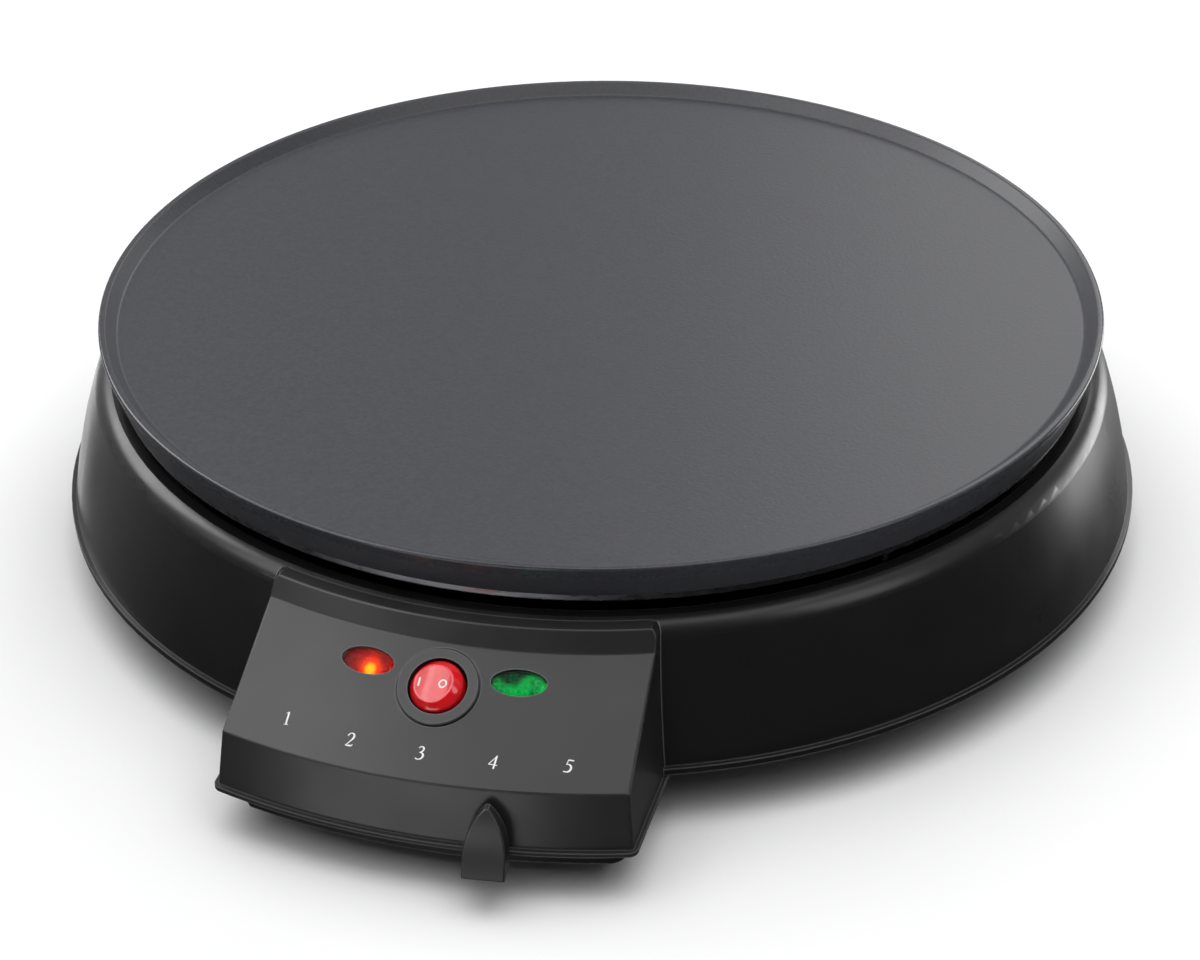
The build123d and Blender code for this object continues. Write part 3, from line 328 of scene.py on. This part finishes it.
def nonstick_finish():
    """Slate-dark sprayed coating on cast aluminium: fine pebbles, polished on the rim's edge."""
    finish = Finish("nonstick", (0.03, 0.031, 0.035), 0.35, IOR=1.5)
    finish.tint(finish.noise(900, 4), (0.030, 0.031, 0.036), (0.040, 0.041, 0.048))
    flat = finish.node("ShaderNodeVectorMath", operation="MULTIPLY")
    flat.inputs[1].default_value = (1, 1, 0)
    finish.link(finish.where, flat.inputs[0])
    away = finish.node("ShaderNodeVectorMath", operation="DISTANCE")
    away.inputs[1].default_value = AXIS
    finish.link(flat.outputs["Vector"], away.inputs[0])
    edge = finish.spread(away.outputs["Value"], 0.0, 0.16, RIM_EDGE)
    grain = finish.spread(finish.noise(900, 3), 0.33, 0.38)
    smoother = finish.node("ShaderNodeMath", operation="SUBTRACT")
    finish.link(grain, smoother.inputs[0])
    finish.link(edge, smoother.inputs[1])
    finish.link(smoother.outputs["Value"], finish.shader.inputs["Roughness"])
    finish.bump(finish.cells(900), 0.05 * MM, 0.5)
    finish.bump(finish.noise(2600, 2), 0.02 * MM, 0.5)
    return finish.material


def plastic_finish(name, dark, light, rough):
    """Charcoal-black moulded plastic with a fine spark-eroded grain."""
    finish = Finish(name, dark, rough, IOR=1.5)
    finish.tint(finish.noise(18, 3), dark, light)
    finish.rough(finish.noise(60, 4), rough - 0.03, rough + 0.04)
    finish.bump(finish.noise(2200, 3), 0.012 * MM, 0.5)
    # Painted highlight: the edges' base colour is lighter, standing in for light caught on rounded edges
    finish.painted_edge_highlight(0.7 * MM, (0.10, 0.10, 0.104))
    return finish.material


def metal_finish(name, color, rough, stretch=(1, 1, 1)):
    """Bare or plated metal with drawn or tumbled marks."""
    finish = Finish(name, color, rough, Metallic=1.0)
    darker = tuple(0.8 * part for part in color)
    finish.tint(finish.noise(120, 4), darker, color)
    finish.rough(finish.noise(700, 3, stretch), rough - 0.08, rough + 0.1)
    finish.bump(finish.noise(700, 3, stretch), 0.01 * MM, 0.5)
    return finish.material


def chalky_finish(name, color, rough=0.7):
    """Ceramic, glass-fibre sleeve or heat-proof moulding."""
    finish = Finish(name, color, rough)
    finish.tint(finish.noise(400, 4), tuple(0.85 * part for part in color), color)
    finish.bump(finish.noise(1500, 4), 0.03 * MM, 0.5)
    return finish.material


def rubber_finish():
    """Matte black rubber with a dusty bloom."""
    finish = Finish("rubber", (0.02, 0.02, 0.02), 0.75)
    finish.tint(finish.noise(300, 5), (0.014, 0.014, 0.014), (0.035, 0.034, 0.033))
    finish.bump(finish.noise(1800, 3), 0.04 * MM, 0.6)
    return finish.material


def insulation_finish(name, color):
    """Silicone wire insulation."""
    finish = Finish(name, color, 0.4)
    finish.tint(finish.noise(200, 3), tuple(0.8 * part for part in color), color)
    finish.bump(finish.noise(900, 2), 0.02 * MM, 0.4)
    return finish.material


def red_finish():
    """Glossy translucent red moulding of the rocker."""
    finish = Finish("rocker_red", (0.75, 0.010, 0.018), 0.12, IOR=1.49)
    finish.set("Coat Weight", 0.6)
    finish.set("Coat Roughness", 0.04)
    finish.set("Subsurface Weight", 0.35)
    finish.set("Subsurface Radius", (3 * MM, 0.4 * MM, 0.3 * MM))
    finish.set("Subsurface Scale", 1.0)
    finish.tint(finish.noise(160, 3), (0.68, 0.008, 0.014), (0.82, 0.014, 0.022))
    finish.rough(finish.noise(500, 3), 0.09, 0.16)
    finish.bump(finish.noise(140, 2), 0.02 * MM, 0.4)
    return finish.material


def lens_finish(name, color):
    """Clear tinted lens that shows the facets under it."""
    finish = Finish(name, color, 0.04, IOR=1.15)
    finish.set("Transmission Weight", 1.0)
    finish.rough(finish.noise(300, 3), 0.02, 0.07)
    finish.bump(finish.noise(160, 2), 0.01 * MM, 0.3)
    return finish.material


def facet_finish(name, dark, light):
    """Cut inner face of a lamp lens: saturated and glossy."""
    finish = Finish(name, light, 0.12, IOR=1.49)
    finish.set("Specular IOR Level", 0.1)
    finish.tint(finish.noise(260, 0), dark, light)
    finish.rough(finish.noise(900, 2), 0.08, 0.2)
    finish.bump(finish.noise(700, 2), 0.02 * MM, 0.4)
    return finish


def glow_material(centre):
    """The lit lamp's facets: yellow over the electrode, orange around it, then deep red."""
    finish = facet_finish("amber_lit", (0.10, 0.002, 0.003), (0.34, 0.006, 0.008))
    away = finish.node("ShaderNodeVectorMath", operation="DISTANCE")
    away.inputs[1].default_value = centre
    finish.link(finish.where, away.inputs[0])
    ramp = finish.node("ShaderNodeValToRGB")
    stops = (
        (0.0, (0.9, 1.0, 0.0)),
        (0.15, (0.95, 0.72, 0.0)),
        (0.28, (0.70, 0.06, 0.0)),
        (0.55, (0.14, 0.002, 0.0)),
        (1.0, (0.03, 0.0, 0.0)),
    )
    fill_ramp(ramp, stops)
    reach = finish.spread(away.outputs["Value"], 0.0, 1.0, (0, SPARK_REACH))
    finish.link(reach, ramp.inputs["Fac"])
    finish.link(ramp.outputs["Color"], finish.shader.inputs["Emission Color"])
    finish.set("Emission Strength", 1.3)
    return finish.material


def print_finish():
    """White pad-printed ink, slightly uneven."""
    finish = Finish("white_print", (0.86, 0.86, 0.85), 0.55)
    finish.tint(finish.noise(1200, 3), (0.74, 0.74, 0.73), (0.90, 0.90, 0.89))
    finish.bump(finish.noise(3000, 2), 0.01 * MM, 0.5)
    return finish.material


# Near pairs of colours that the black mouldings wander between
BASE_BLACKS = ((0.0085, 0.0085, 0.0092), (0.0105, 0.0105, 0.0112))
# The panel's pair is the base's black made lighter: painted light, standing in for the light that falls on the
# control panel
PANEL_BLACKS_PAINTED_LIGHTER = ((0.015, 0.015, 0.0155), (0.018, 0.018, 0.0185))
SWITCH_BLACKS = ((0.026, 0.027, 0.028), (0.034, 0.035, 0.036))
MATERIALS = {
    "nonstick_aluminium": nonstick_finish(),
    "element_sheath": metal_finish("sheath", (0.20, 0.19, 0.18), 0.5),
    "ceramic": chalky_finish("ceramic", (0.82, 0.80, 0.74)),
    "brass": metal_finish("brass", (0.72, 0.53, 0.24), 0.3),
    "sheet_steel": metal_finish("sheet_steel", (0.55, 0.55, 0.56), 0.34, (1, 0.05, 1)),
    "zinc_steel": metal_finish("zinc", (0.62, 0.63, 0.65), 0.3),
    "bright_sheet": metal_finish("bright_sheet", (0.26, 0.265, 0.28), 0.30, (0.1, 1, 1)),
    "black_plastic": plastic_finish("black_plastic", *BASE_BLACKS, 0.30),
    "panel_plastic": plastic_finish("panel_plastic", *PANEL_BLACKS_PAINTED_LIGHTER, 0.32),
    "switch_black": plastic_finish("switch_black", *SWITCH_BLACKS, 0.38),
    "red_plastic": red_finish(),
    "amber_plastic": lens_finish("amber_clear", (1.0, 0.55, 0.45)),
    "green_plastic": lens_finish("green_clear", (0.5, 1.0, 0.75)),
    "lamp_glass": lens_finish("lamp_glass", (0.95, 0.9, 0.85)),
    "white_plastic": chalky_finish("white_plastic", (0.78, 0.77, 0.73), 0.5),
    "foot_rubber": rubber_finish(),
    "brown_insulation": insulation_finish("brown_wire", (0.16, 0.06, 0.03)),
    "blue_insulation": insulation_finish("blue_wire", (0.03, 0.09, 0.32)),
    "red_insulation": insulation_finish("red_wire", (0.45, 0.02, 0.02)),
}
PRINT = print_finish()


def dress_cad_nodes():
    """Each carried-over CAD part takes its slot's material."""
    slots = {part["node"]: part["material_slot"] for part in frame["record"]["subparts"]}
    for name, node in frame["nodes"].items():
        node.data.materials.clear()
        node.data.materials.append(MATERIALS[slots[name]])


# ---------------------------------------------------------------- mesh helpers
def finish_piece(name, mesh_data, material, body, replaces=(), sharp=35):
    """Makes an object from a bmesh, shades it, gives it its material and its body."""
    bmesh.ops.recalc_face_normals(mesh_data, faces=mesh_data.faces)
    mesh = bpy.data.meshes.new(name)
    mesh_data.to_mesh(mesh)
    mesh_data.free()
    mesh.polygons.foreach_set("use_smooth", [True] * len(mesh.polygons))
    mesh.set_sharp_from_angle(angle=radians(sharp))
    mesh.materials.append(material)
    piece = bpy.data.objects.new(name, mesh)
    bpy.context.scene.collection.objects.link(piece)
    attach(piece, body)
    if replaces:
        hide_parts(*replaces)


def rings_to_faces(work, rings, closed_ends=True):
    """Joins rings of vertices into quads; a ring may be a single vertex."""
    for low, high in zip(rings, rings[1:]):
        count = max(len(low), len(high))
        for i in range(count):
            j = (i + 1) % count
            near = [low[i % len(low)], low[j % len(low)]]
            far = [high[j % len(high)], high[i % len(high)]]
            unique = list(dict.fromkeys(near + far))
            if len(unique) > 2:
                work.faces.new(unique)
    if closed_ends:
        for ring in (rings[0], rings[-1]):
            if len(ring) > 2:
                work.faces.new(ring)


def ring_points(half_x, half_y, count):
    """Points (x, y) of an ellipse; a single point where it has no width."""
    if half_x == 0:
        return [(0.0, 0.0)]
    angles = [2 * pi * i / count for i in range(count)]
    return [(half_x * cos(angle), half_y * sin(angle)) for angle in angles]


def oval_ring(work, place, half_x, half_y, height, count=72):
    """A ring of vertices on an ellipse; a single vertex where it has no width."""
    points = ring_points(half_x, half_y, count)
    return [work.verts.new(place @ Vector((x, y, height))) for x, y in points]


def turned_piece(work, profile_mm, place, count):
    """Adds a body of revolution: the profile is (radius, height) pairs, place a matrix."""
    rings = []
    for radius, height in profile_mm:
        rings.append(oval_ring(work, place, radius * MM, radius * MM, height * MM, count))
    rings_to_faces(work, rings)


def cone_place(radius, height, angle):
    """Point on the control face's cone, and the directions right and out of the face."""
    right = Vector((cos(angle), sin(angle), 0))
    outward = Vector((sin(angle), -cos(angle), 0))
    normal = outward * sin(SLOPE) + Vector((0, 0, cos(SLOPE)))
    return AXIS + outward * radius + Vector((0, 0, height)), right, normal


def face_frame(radius, turn):
    """Matrix on the control face: x to the right, y up the slope, z outwards."""
    height = FACE_TOP[1] - (radius - FACE_TOP[0]) * sin(SLOPE) / cos(SLOPE)
    place, right, normal = cone_place(radius, height, turn)
    turn_matrix = Matrix((right, normal.cross(right), normal)).transposed().to_4x4()
    return Matrix.Translation(place) @ turn_matrix


def on_face(turn, across, down, lift):
    """Point on the cone: across is measured along the arc, down along the slope."""
    radius = FACE_TOP[0] + down * cos(SLOPE)
    height = FACE_TOP[1] - down * sin(SLOPE)
    place, _, normal = cone_place(radius, height, turn + across / radius)
    return place + normal * lift


def catmull_rom(p, q, r, s, t):
    """Value at t of 0 to 1 between q and r, with p and s as the neighbours."""
    bend = (2 * p - 5 * q + 4 * r - s) * t**2
    twist = (3 * q - p - 3 * r + s) * t**3
    return 0.5 * (2 * q + (r - p) * t + bend + twist)


def smooth_path(points, steps=8):
    """Catmull-Rom curve through (x, y, half width) points."""
    padded = [points[0], *points, points[-1]]
    out = []
    for group in zip(padded, padded[1:], padded[2:], padded[3:]):
        for step in range(steps):
            out.append(tuple(catmull_rom(*values, step / steps) for values in zip(*group)))
    out.append(points[-1])
    return out


def pen_stroke(work, points, to_surface, smooth):
    """A printed stroke of changing width; to_surface takes (x, y, lift)."""
    line = smooth_path(points) if smooth else points
    rings = []
    for i, (x, y, half) in enumerate(line):
        before, after = line[max(i - 1, 0)], line[min(i + 1, len(line) - 1)]
        along = Vector((after[0] - before[0], after[1] - before[1])).normalized()
        side = Vector((-along.y, along.x)) * half
        ring = []
        for sign, lift in ((-1, 0.0), (1, 0.0), (1, INK), (-1, INK)):
            spot = to_surface(x + sign * side.x, y + sign * side.y, lift)
            ring.append(work.verts.new(spot))
        rings.append(ring)
    rings_to_faces(work, rings)


def rounded(corners, steps=7):
    """Closed outline whose corners (x, y, radius) are rounded, as (x, y) points in order."""
    out = []
    count = len(corners)
    for i, (x, y, radius) in enumerate(corners):
        here = Vector((x, y))
        if radius == 0:
            out.append((x, y))
            continue
        before = (Vector(corners[i - 1][:2]) - here).normalized()
        after = (Vector(corners[(i + 1) % count][:2]) - here).normalized()
        half = before.angle(after) / 2
        middle = here + (before + after).normalized() * radius / sin(half)
        first = here + before * radius / tan(half) - middle
        last = here + after * radius / tan(half) - middle
        sweep = first.angle_signed(last)
        for step in range(steps + 1):
            spot = middle + Matrix.Rotation(-sweep * step / steps, 2) @ first
            out.append((spot.x, spot.y))
    return out


# ---------------------------------------------------------------- griddle plate
# Section through the dish from the middle of its underside: radius, height, corner radius
PLATE_SECTION = (
    (0, 66.6, 0),
    (142.8, 66.6, 1.0),
    (143.7, 63.3, 0.2),
    (146.7, 63.3, 0.6),
    (150.3, 74.0, 0.8),
    (148.0, 74.0, 0.9),
    (144.6, 70.6, 1.6),
    (0, 70.6, 0),
)
BOSS_SECTION = ((0, 65.6), (2.05, 65.6), (2.05, 61.0), (7.0, 61.0), (7.0, 66.8), (0, 66.8))
STUD_RING_R = 112.0 * MM


def make_plate():
    """Turned dish with a low rim and a skirt, and the three stud bosses under it."""
    work = bmesh.new()
    turned_piece(work, rounded(PLATE_SECTION), Matrix.Translation(AXIS), 288)
    for angle in (90, 210, 330):
        spot = Vector((cos(radians(angle)), sin(radians(angle)), 0)) * STUD_RING_R
        turned_piece(work, BOSS_SECTION, Matrix.Translation(AXIS + spot), 36)
    nonstick = MATERIALS["nonstick_aluminium"]
    finish_piece("plate_dish", work, nonstick, "base", ["griddle_plate"])


# ---------------------------------------------------------------- scale on the control face
# Pen strokes of the digits in a box one unit high: (x, y, half width); True where curved
DIGITS = {
    1: (
        (False, ((0.30, 0.97, 0.062), (0.30, 0.02, 0.066))),
        (False, ((0.31, 0.985, 0.018), (0.12, 0.86, 0.030))),
        (False, ((0.14, 0.015, 0.022), (0.46, 0.015, 0.022))),
    ),
    2: (
        (
            True,
            (
                (0.07, 0.76, 0.050),
                (0.13, 0.91, 0.038),
                (0.29, 0.985, 0.036),
                (0.47, 0.90, 0.060),
                (0.50, 0.70, 0.072),
                (0.38, 0.46, 0.052),
                (0.19, 0.22, 0.034),
                (0.04, 0.05, 0.030),
            ),
        ),
        (
            True,
            (
                (0.04, 0.045, 0.030),
                (0.22, 0.05, 0.052),
                (0.44, 0.045, 0.056),
                (0.56, 0.15, 0.022),
            ),
        ),
    ),
    3: (
        (
            True,
            (
                (0.11, 0.84, 0.034),
                (0.20, 0.955, 0.038),
                (0.35, 0.975, 0.042),
                (0.46, 0.84, 0.066),
                (0.40, 0.65, 0.048),
                (0.22, 0.54, 0.026),
            ),
        ),
        (
            True,
            (
                (0.22, 0.54, 0.026),
                (0.43, 0.50, 0.050),
                (0.53, 0.32, 0.074),
                (0.44, 0.11, 0.056),
                (0.22, 0.02, 0.036),
                (0.03, 0.09, 0.046),
            ),
        ),
    ),
    4: (
        (False, ((0.43, 0.985, 0.026), (0.02, 0.31, 0.032))),
        (False, ((0.0, 0.29, 0.036), (0.60, 0.29, 0.036))),
        (False, ((0.41, 0.99, 0.060), (0.41, 0.0, 0.062))),
    ),
    5: (
        (False, ((0.17, 0.94, 0.050), (0.56, 0.965, 0.044))),
        (False, ((0.185, 0.95, 0.030), (0.13, 0.60, 0.030))),
        (
            True,
            (
                (0.125, 0.59, 0.026),
                (0.30, 0.62, 0.044),
                (0.47, 0.50, 0.068),
                (0.50, 0.28, 0.072),
                (0.36, 0.08, 0.050),
                (0.04, 0.035, 0.042),
            ),
        ),
    ),
}
DIGIT_MIDDLE = (0.3, 0.5)
DIGIT_SHEAR = 0.04

# The 1 stands a little to the right of its place and up the slope
DIGIT_SHIFT = {1: (0.3 * MM, 1.2 * MM)}

# Thickness of the print and its gaps to the face and to the rocker's top
INK = 0.03 * MM
INK_GAP = 0.005 * MM
MARK_GAP = 0.01 * MM


def make_scale():
    """Slightly slanted digits 1 to 5, parallel to each other, one step apart on an arc."""
    for digit, strokes in DIGITS.items():
        turn = (digit - 3) * DIGIT_STEP
        right, up = DIGIT_SHIFT.get(digit, (0, 0))
        work = bmesh.new()

        def to_surface(x, y, lift):
            rise = y - DIGIT_MIDDLE[1]
            side = x - DIGIT_MIDDLE[0] + DIGIT_SHEAR * rise
            across = (side * cos(turn) + rise * sin(turn)) * DIGIT_HEIGHT + right
            down = DIGIT_DOWN - (rise * cos(turn) - side * sin(turn)) * DIGIT_HEIGHT - up
            return on_face(turn, across, down, lift + INK_GAP)

        for smooth, points in strokes:
            pen_stroke(work, points, to_surface, smooth)
        finish_piece(f"scale_digit_{digit}", work, PRINT, "base", sharp=60)


# ---------------------------------------------------------------- rocker
def rocker_frame():
    """Matrix of the tilted rocker: z along its own normal, y along its pivot."""
    joint = JOINTS["rocker_pivot"]
    pivot = Vector(joint["pos_m"])
    up = Vector(joint["axis"]).normalized()
    right = Vector((1, 0, 0))
    normal = right.cross(up)
    level = Matrix((right, up, normal)).transposed().to_4x4()
    tilt = Matrix.Rotation(-ROCKER_TILT, 4, "Y")
    return Matrix.Translation(pivot) @ level @ tilt


def dish(x):
    """Depth of the finger hollow across the rocker's top."""
    return min(0.0, x * x / (2 * DISH_R) - DISH_DEPTH)


# The rocker in rings, mm: radii across its dished top, then (radius, drop below the top)
TOP_RADII = (0.0, 1.1, 2.2, 3.3, 4.3, 5.0, 5.4)
SOFT_EDGE = ((5.56, 0.05), (5.68, 0.15), (5.86, 0.36), (6.35, 0.92), (6.9, 1.55), (7.25, 2.05))
SIDE = ((7.42, 2.5), (7.48, 3.2), (7.48, 5.2), (7.4, 8.0), (6.9, 9.0), (6.5, 9.7))


def make_rocker():
    """Dished round rocker with a soft edge, its trunnions, and the printed I and O."""
    place = rocker_frame()
    work = bmesh.new()
    rings = []
    for radius, drop in [(radius, 0.0) for radius in TOP_RADII] + [*SOFT_EDGE, *SIDE]:
        ring = []
        for x, y in ring_points(radius * MM, radius * MM, ROCKER_SPOKES):
            sink = dish(x) * max(0.0, 1 - drop / DISH_FADE_MM)
            ring.append(work.verts.new(place @ Vector((x, y, ROCKER_TOP - drop * MM + sink))))
        rings.append(ring)
    rings_to_faces(work, rings)
    for side in (-1, 1):
        pin = place @ Matrix.Rotation(-side * pi / 2, 4, "X")
        turned_piece(work, PIN_PROFILE, pin, 24)
    red = MATERIALS["red_plastic"]
    finish_piece("rocker_cap", work, red, "rocker", ["switch_rocker"])

    def to_top(x, y, lift):
        return place @ Vector((x, y, ROCKER_TOP + dish(x) + lift + MARK_GAP))

    bar = [(MARK_ON_X, sign * MARK_ON_HALF, MARK_ON_PEN) for sign in (1, -1)]
    circle = []
    for i in range(MARK_OFF_STEPS + 1):
        angle = 2 * pi * i / MARK_OFF_STEPS
        x = MARK_OFF_X + MARK_OFF_HALF[0] * cos(angle)
        circle.append((x, MARK_OFF_HALF[1] * sin(angle), MARK_OFF_PEN))
    for name, stroke in (("mark_on", bar), ("mark_off", circle)):
        work = bmesh.new()
        pen_stroke(work, stroke, to_top, False)
        finish_piece(name, work, PRINT, "rocker", sharp=60)


# ---------------------------------------------------------------- pilot lamps
def make_lens(name, turn, material, node):
    """Low clear dome with a step under the face, as one closed shell."""
    place = face_frame(LAMP_R, turn)
    half_x, half_y = LENS_HALF
    work = bmesh.new()
    rings = [oval_ring(work, place, 0, 0, DOME_RISE)]
    for share in (0.2, 0.4, 0.6, 0.78, 0.9, 0.97):
        dome = DOME_RISE * (1 - share**2) - 0.02 * MM
        rings.append(oval_ring(work, place, half_x * share, half_y * share, dome))
    rings.append(oval_ring(work, place, half_x, half_y, DOME_STEP))
    rings.append(oval_ring(work, place, half_x, half_y, DOME_CHAMFER))
    rings.append(oval_ring(work, place, half_x * 0.96, half_y * 0.93, DOME_BACK))
    rings.append(oval_ring(work, place, 0, 0, DOME_BACK))
    rings_to_faces(work, rings, closed_ends=False)
    finish_piece(name, work, material, "base", [node], sharp=50)


def make_facets(name, turn, material):
    """The lens's cut inner face: rows of small pyramids in an oval cup."""
    place = face_frame(LAMP_R, turn)
    half_x, half_y = LENS_HALF[0] * 0.965, LENS_HALF[1] * 0.94
    work = bmesh.new()
    pitch_x, pitch_y = 2 * half_x / FACET_COLUMNS, 2 * half_y / FACET_ROWS

    def reach(x, y):
        return (x / half_x) ** 2 + (y / half_y) ** 2

    def inside(x, y):
        share = sqrt(reach(x, y))
        return (x / share, y / share) if share > 1 else (x, y)

    for column in range(FACET_COLUMNS):
        for row in range(FACET_ROWS):
            x0 = -half_x + column * pitch_x
            y0 = -half_y + row * pitch_y
            x1, y1 = x0 + pitch_x, y0 + pitch_y
            middle = (x0 + pitch_x / 2, y0 + pitch_y / 2)
            if reach(*middle) > 1.12:
                continue
            tall = FACET_TALL if (column + row) % 2 else FACET_LOW
            corners = []
            for x, y in ((x0, y0), (x1, y0), (x1, y1), (x0, y1)):
                corners.append(work.verts.new(place @ Vector((*inside(x, y), CUP_FLOOR))))
            tip = work.verts.new(place @ Vector((*inside(*middle), CUP_FLOOR + tall)))
            for i in range(4):
                work.faces.new((corners[i], corners[(i + 1) % 4], tip))
    wall = [
        oval_ring(work, place, half_x, half_y, CUP_TOP),
        oval_ring(work, place, half_x, half_y, CUP_FLOOR),
        oval_ring(work, place, half_x * 0.97, half_y * 0.97, CUP_FLOOR - CUP_WALL),
    ]
    rings_to_faces(work, wall, closed_ends=False)
    work.faces.new(wall[-1])
    finish_piece(name, work, material, "base", sharp=12)


def make_lamps():
    """Lit amber lamp at the left, unlit green lamp at the right."""
    spark = face_frame(LAMP_R, -LAMP_ANGLE) @ SPARK_PLACE
    glow = glow_material(spark)
    green = facet_finish("green_cut", (0.0, 0.05, 0.016), (0.004, 0.42, 0.12)).material
    for color, turn, facets in (("amber", -LAMP_ANGLE, glow), ("green", LAMP_ANGLE, green)):
        slot = f"{color}_plastic"
        make_lens(f"{color}_dome", turn, MATERIALS[slot], f"{color}_lens")
        make_facets(f"{color}_facets", turn, facets)


# ---------------------------------------------------------------- underside
def solid_centres(node):
    """Middle and lowest point of each separate solid in a CAD node."""
    work = bmesh.new()
    work.from_mesh(frame["nodes"][node].data)
    bmesh.ops.remove_doubles(work, verts=work.verts, dist=0.001 * MM)
    seen, found = set(), []
    for start in work.verts:
        if start in seen:
            continue
        group, stack = [], [start]
        seen.add(start)
        while stack:
            vert = stack.pop()
            group.append(vert.co.copy())
            for edge in vert.link_edges:
                other = edge.other_vert(vert)
                if other not in seen:
                    seen.add(other)
                    stack.append(other)
        low = Vector([min(co[i] for co in group) for i in range(3)])
        high = Vector([max(co[i] for co in group) for i in range(3)])
        found.append(Vector(((low.x + high.x) / 2, (low.y + high.y) / 2, low.z)))
    work.free()
    return found


# Half sections from the lowest point up, mm: (radius, height)
FOOT_SOLE = ((0, 0.5), (2.2, 0.5), (2.5, 0.0), (4.3, 0.0), (4.6, 0.45), (5.4, 0.45), (5.7, 0.0))
FOOT_BODY = ((7.6, 0.0), (8.3, 0.25), (8.8, 0.8), (9.0, 1.6), (9.0, 6.4), (8.8, 7.4), (8.4, 8.0))
FOOT_PLUG = ((3.0, 8.0), (3.0, 10.0), (4.15, 10.1), (3.6, 11.6), (0, 11.6))
SCREW_HEAD = ((0, 0), (1.4, 0.02), (2.3, 0.22), (2.9, 0.7), (3.15, 1.3), (3.2, 1.8), (1.5, 1.8))
SCREW_SHANK = ((1.5, 11.5), (1.1, 12.4), (0, 12.9))

# The cross recess tapers: (half length, half width, height) at its mouth and at its floor, mm
RECESS_ENDS = ((1.9, 0.38, -0.4), (0.7, 0.26, 1.25))

# Each screw stops at another angle
SCREW_TURN = 0.9


def make_feet():
    """Round rubber feet with a soft edge and grooved soles, plugged through the cover."""
    work = bmesh.new()
    for spot in solid_centres("rubber_feet"):
        turned_piece(work, FOOT_SOLE + FOOT_BODY + FOOT_PLUG, Matrix.Translation(spot), 48)
    rubber = MATERIALS["foot_rubber"]
    finish_piece("soft_feet", work, rubber, "base", ["rubber_feet"])


def plain_form(name, work):
    """An undressed object made from a bmesh, for a boolean cut."""
    bmesh.ops.recalc_face_normals(work, faces=work.faces)
    mesh = bpy.data.meshes.new(name)
    work.to_mesh(mesh)
    work.free()
    form = bpy.data.objects.new(f"{name}_form", mesh)
    bpy.context.scene.collection.objects.link(form)
    return form


def cross_screw():
    """Mesh of one pan-head screw with its cross recess cut."""
    head = bmesh.new()
    turned_piece(head, SCREW_HEAD + SCREW_SHANK, Matrix(), 40)
    cutter = bmesh.new()
    for angle in (0, pi / 2):
        spin = Matrix.Rotation(angle, 4, "Z")
        rings = []
        for half_x, half_y, height in RECESS_ENDS:
            ring = []
            for sign_x, sign_y in ((-1, -1), (1, -1), (1, 1), (-1, 1)):
                corner = Vector((sign_x * half_x * MM, sign_y * half_y * MM, height * MM))
                ring.append(cutter.verts.new(spin @ corner))
            rings.append(ring)
        rings_to_faces(cutter, rings)
    screw = plain_form("screw", head)
    recess = plain_form("recess", cutter)
    cut = screw.modifiers.new("recess", "BOOLEAN")
    cut.operation = "DIFFERENCE"
    cut.object = recess
    cut.solver = "EXACT"
    cut.use_self = True
    bpy.context.view_layer.update()
    settled = screw.evaluated_get(bpy.context.evaluated_depsgraph_get())
    shaped = bpy.data.meshes.new_from_object(settled)
    for form in (screw, recess):
        bpy.data.objects.remove(form)
    return shaped


def make_screws():
    """Pan-head cover screws with a cross recess."""
    shaped = cross_screw()
    work = bmesh.new()
    for i, spot in enumerate(solid_centres("cover_screws")):
        one = shaped.copy()
        one.transform(Matrix.Translation(spot) @ Matrix.Rotation(SCREW_TURN * i, 4, "Z"))
        work.from_mesh(one)
    zinc = MATERIALS["zinc_steel"]
    finish_piece("cross_screws", work, zinc, "base", ["cover_screws"])


# ---------------------------------------------------------------- floor
def make_floor():
    """Plain pale floor."""
    finish = Finish("floor", (0.86, 0.86, 0.86), 0.8)
    finish.set("Specular IOR Level", 0.0)
    finish.tint(finish.noise(3, 3), (0.84, 0.84, 0.84), (0.88, 0.88, 0.88))
    work = bmesh.new()
    bmesh.ops.create_grid(work, x_segments=4, y_segments=4, size=FLOOR_HALF)
    mesh = bpy.data.meshes.new("floor")
    work.to_mesh(mesh)
    work.free()
    mesh.materials.append(finish.material)
    floor = bpy.data.objects.new("floor", mesh)
    floor.location = (0, 0, cad_box[0][2] - FLOOR_GAP)
    floor.visible_glossy = False
    floor.visible_shadow = False
    bpy.context.scene.collection.objects.link(floor)


make_camera()
make_light()
make_floor()
dress_cad_nodes()
make_plate()
make_scale()
make_rocker()
make_lamps()
make_feet()
make_screws()
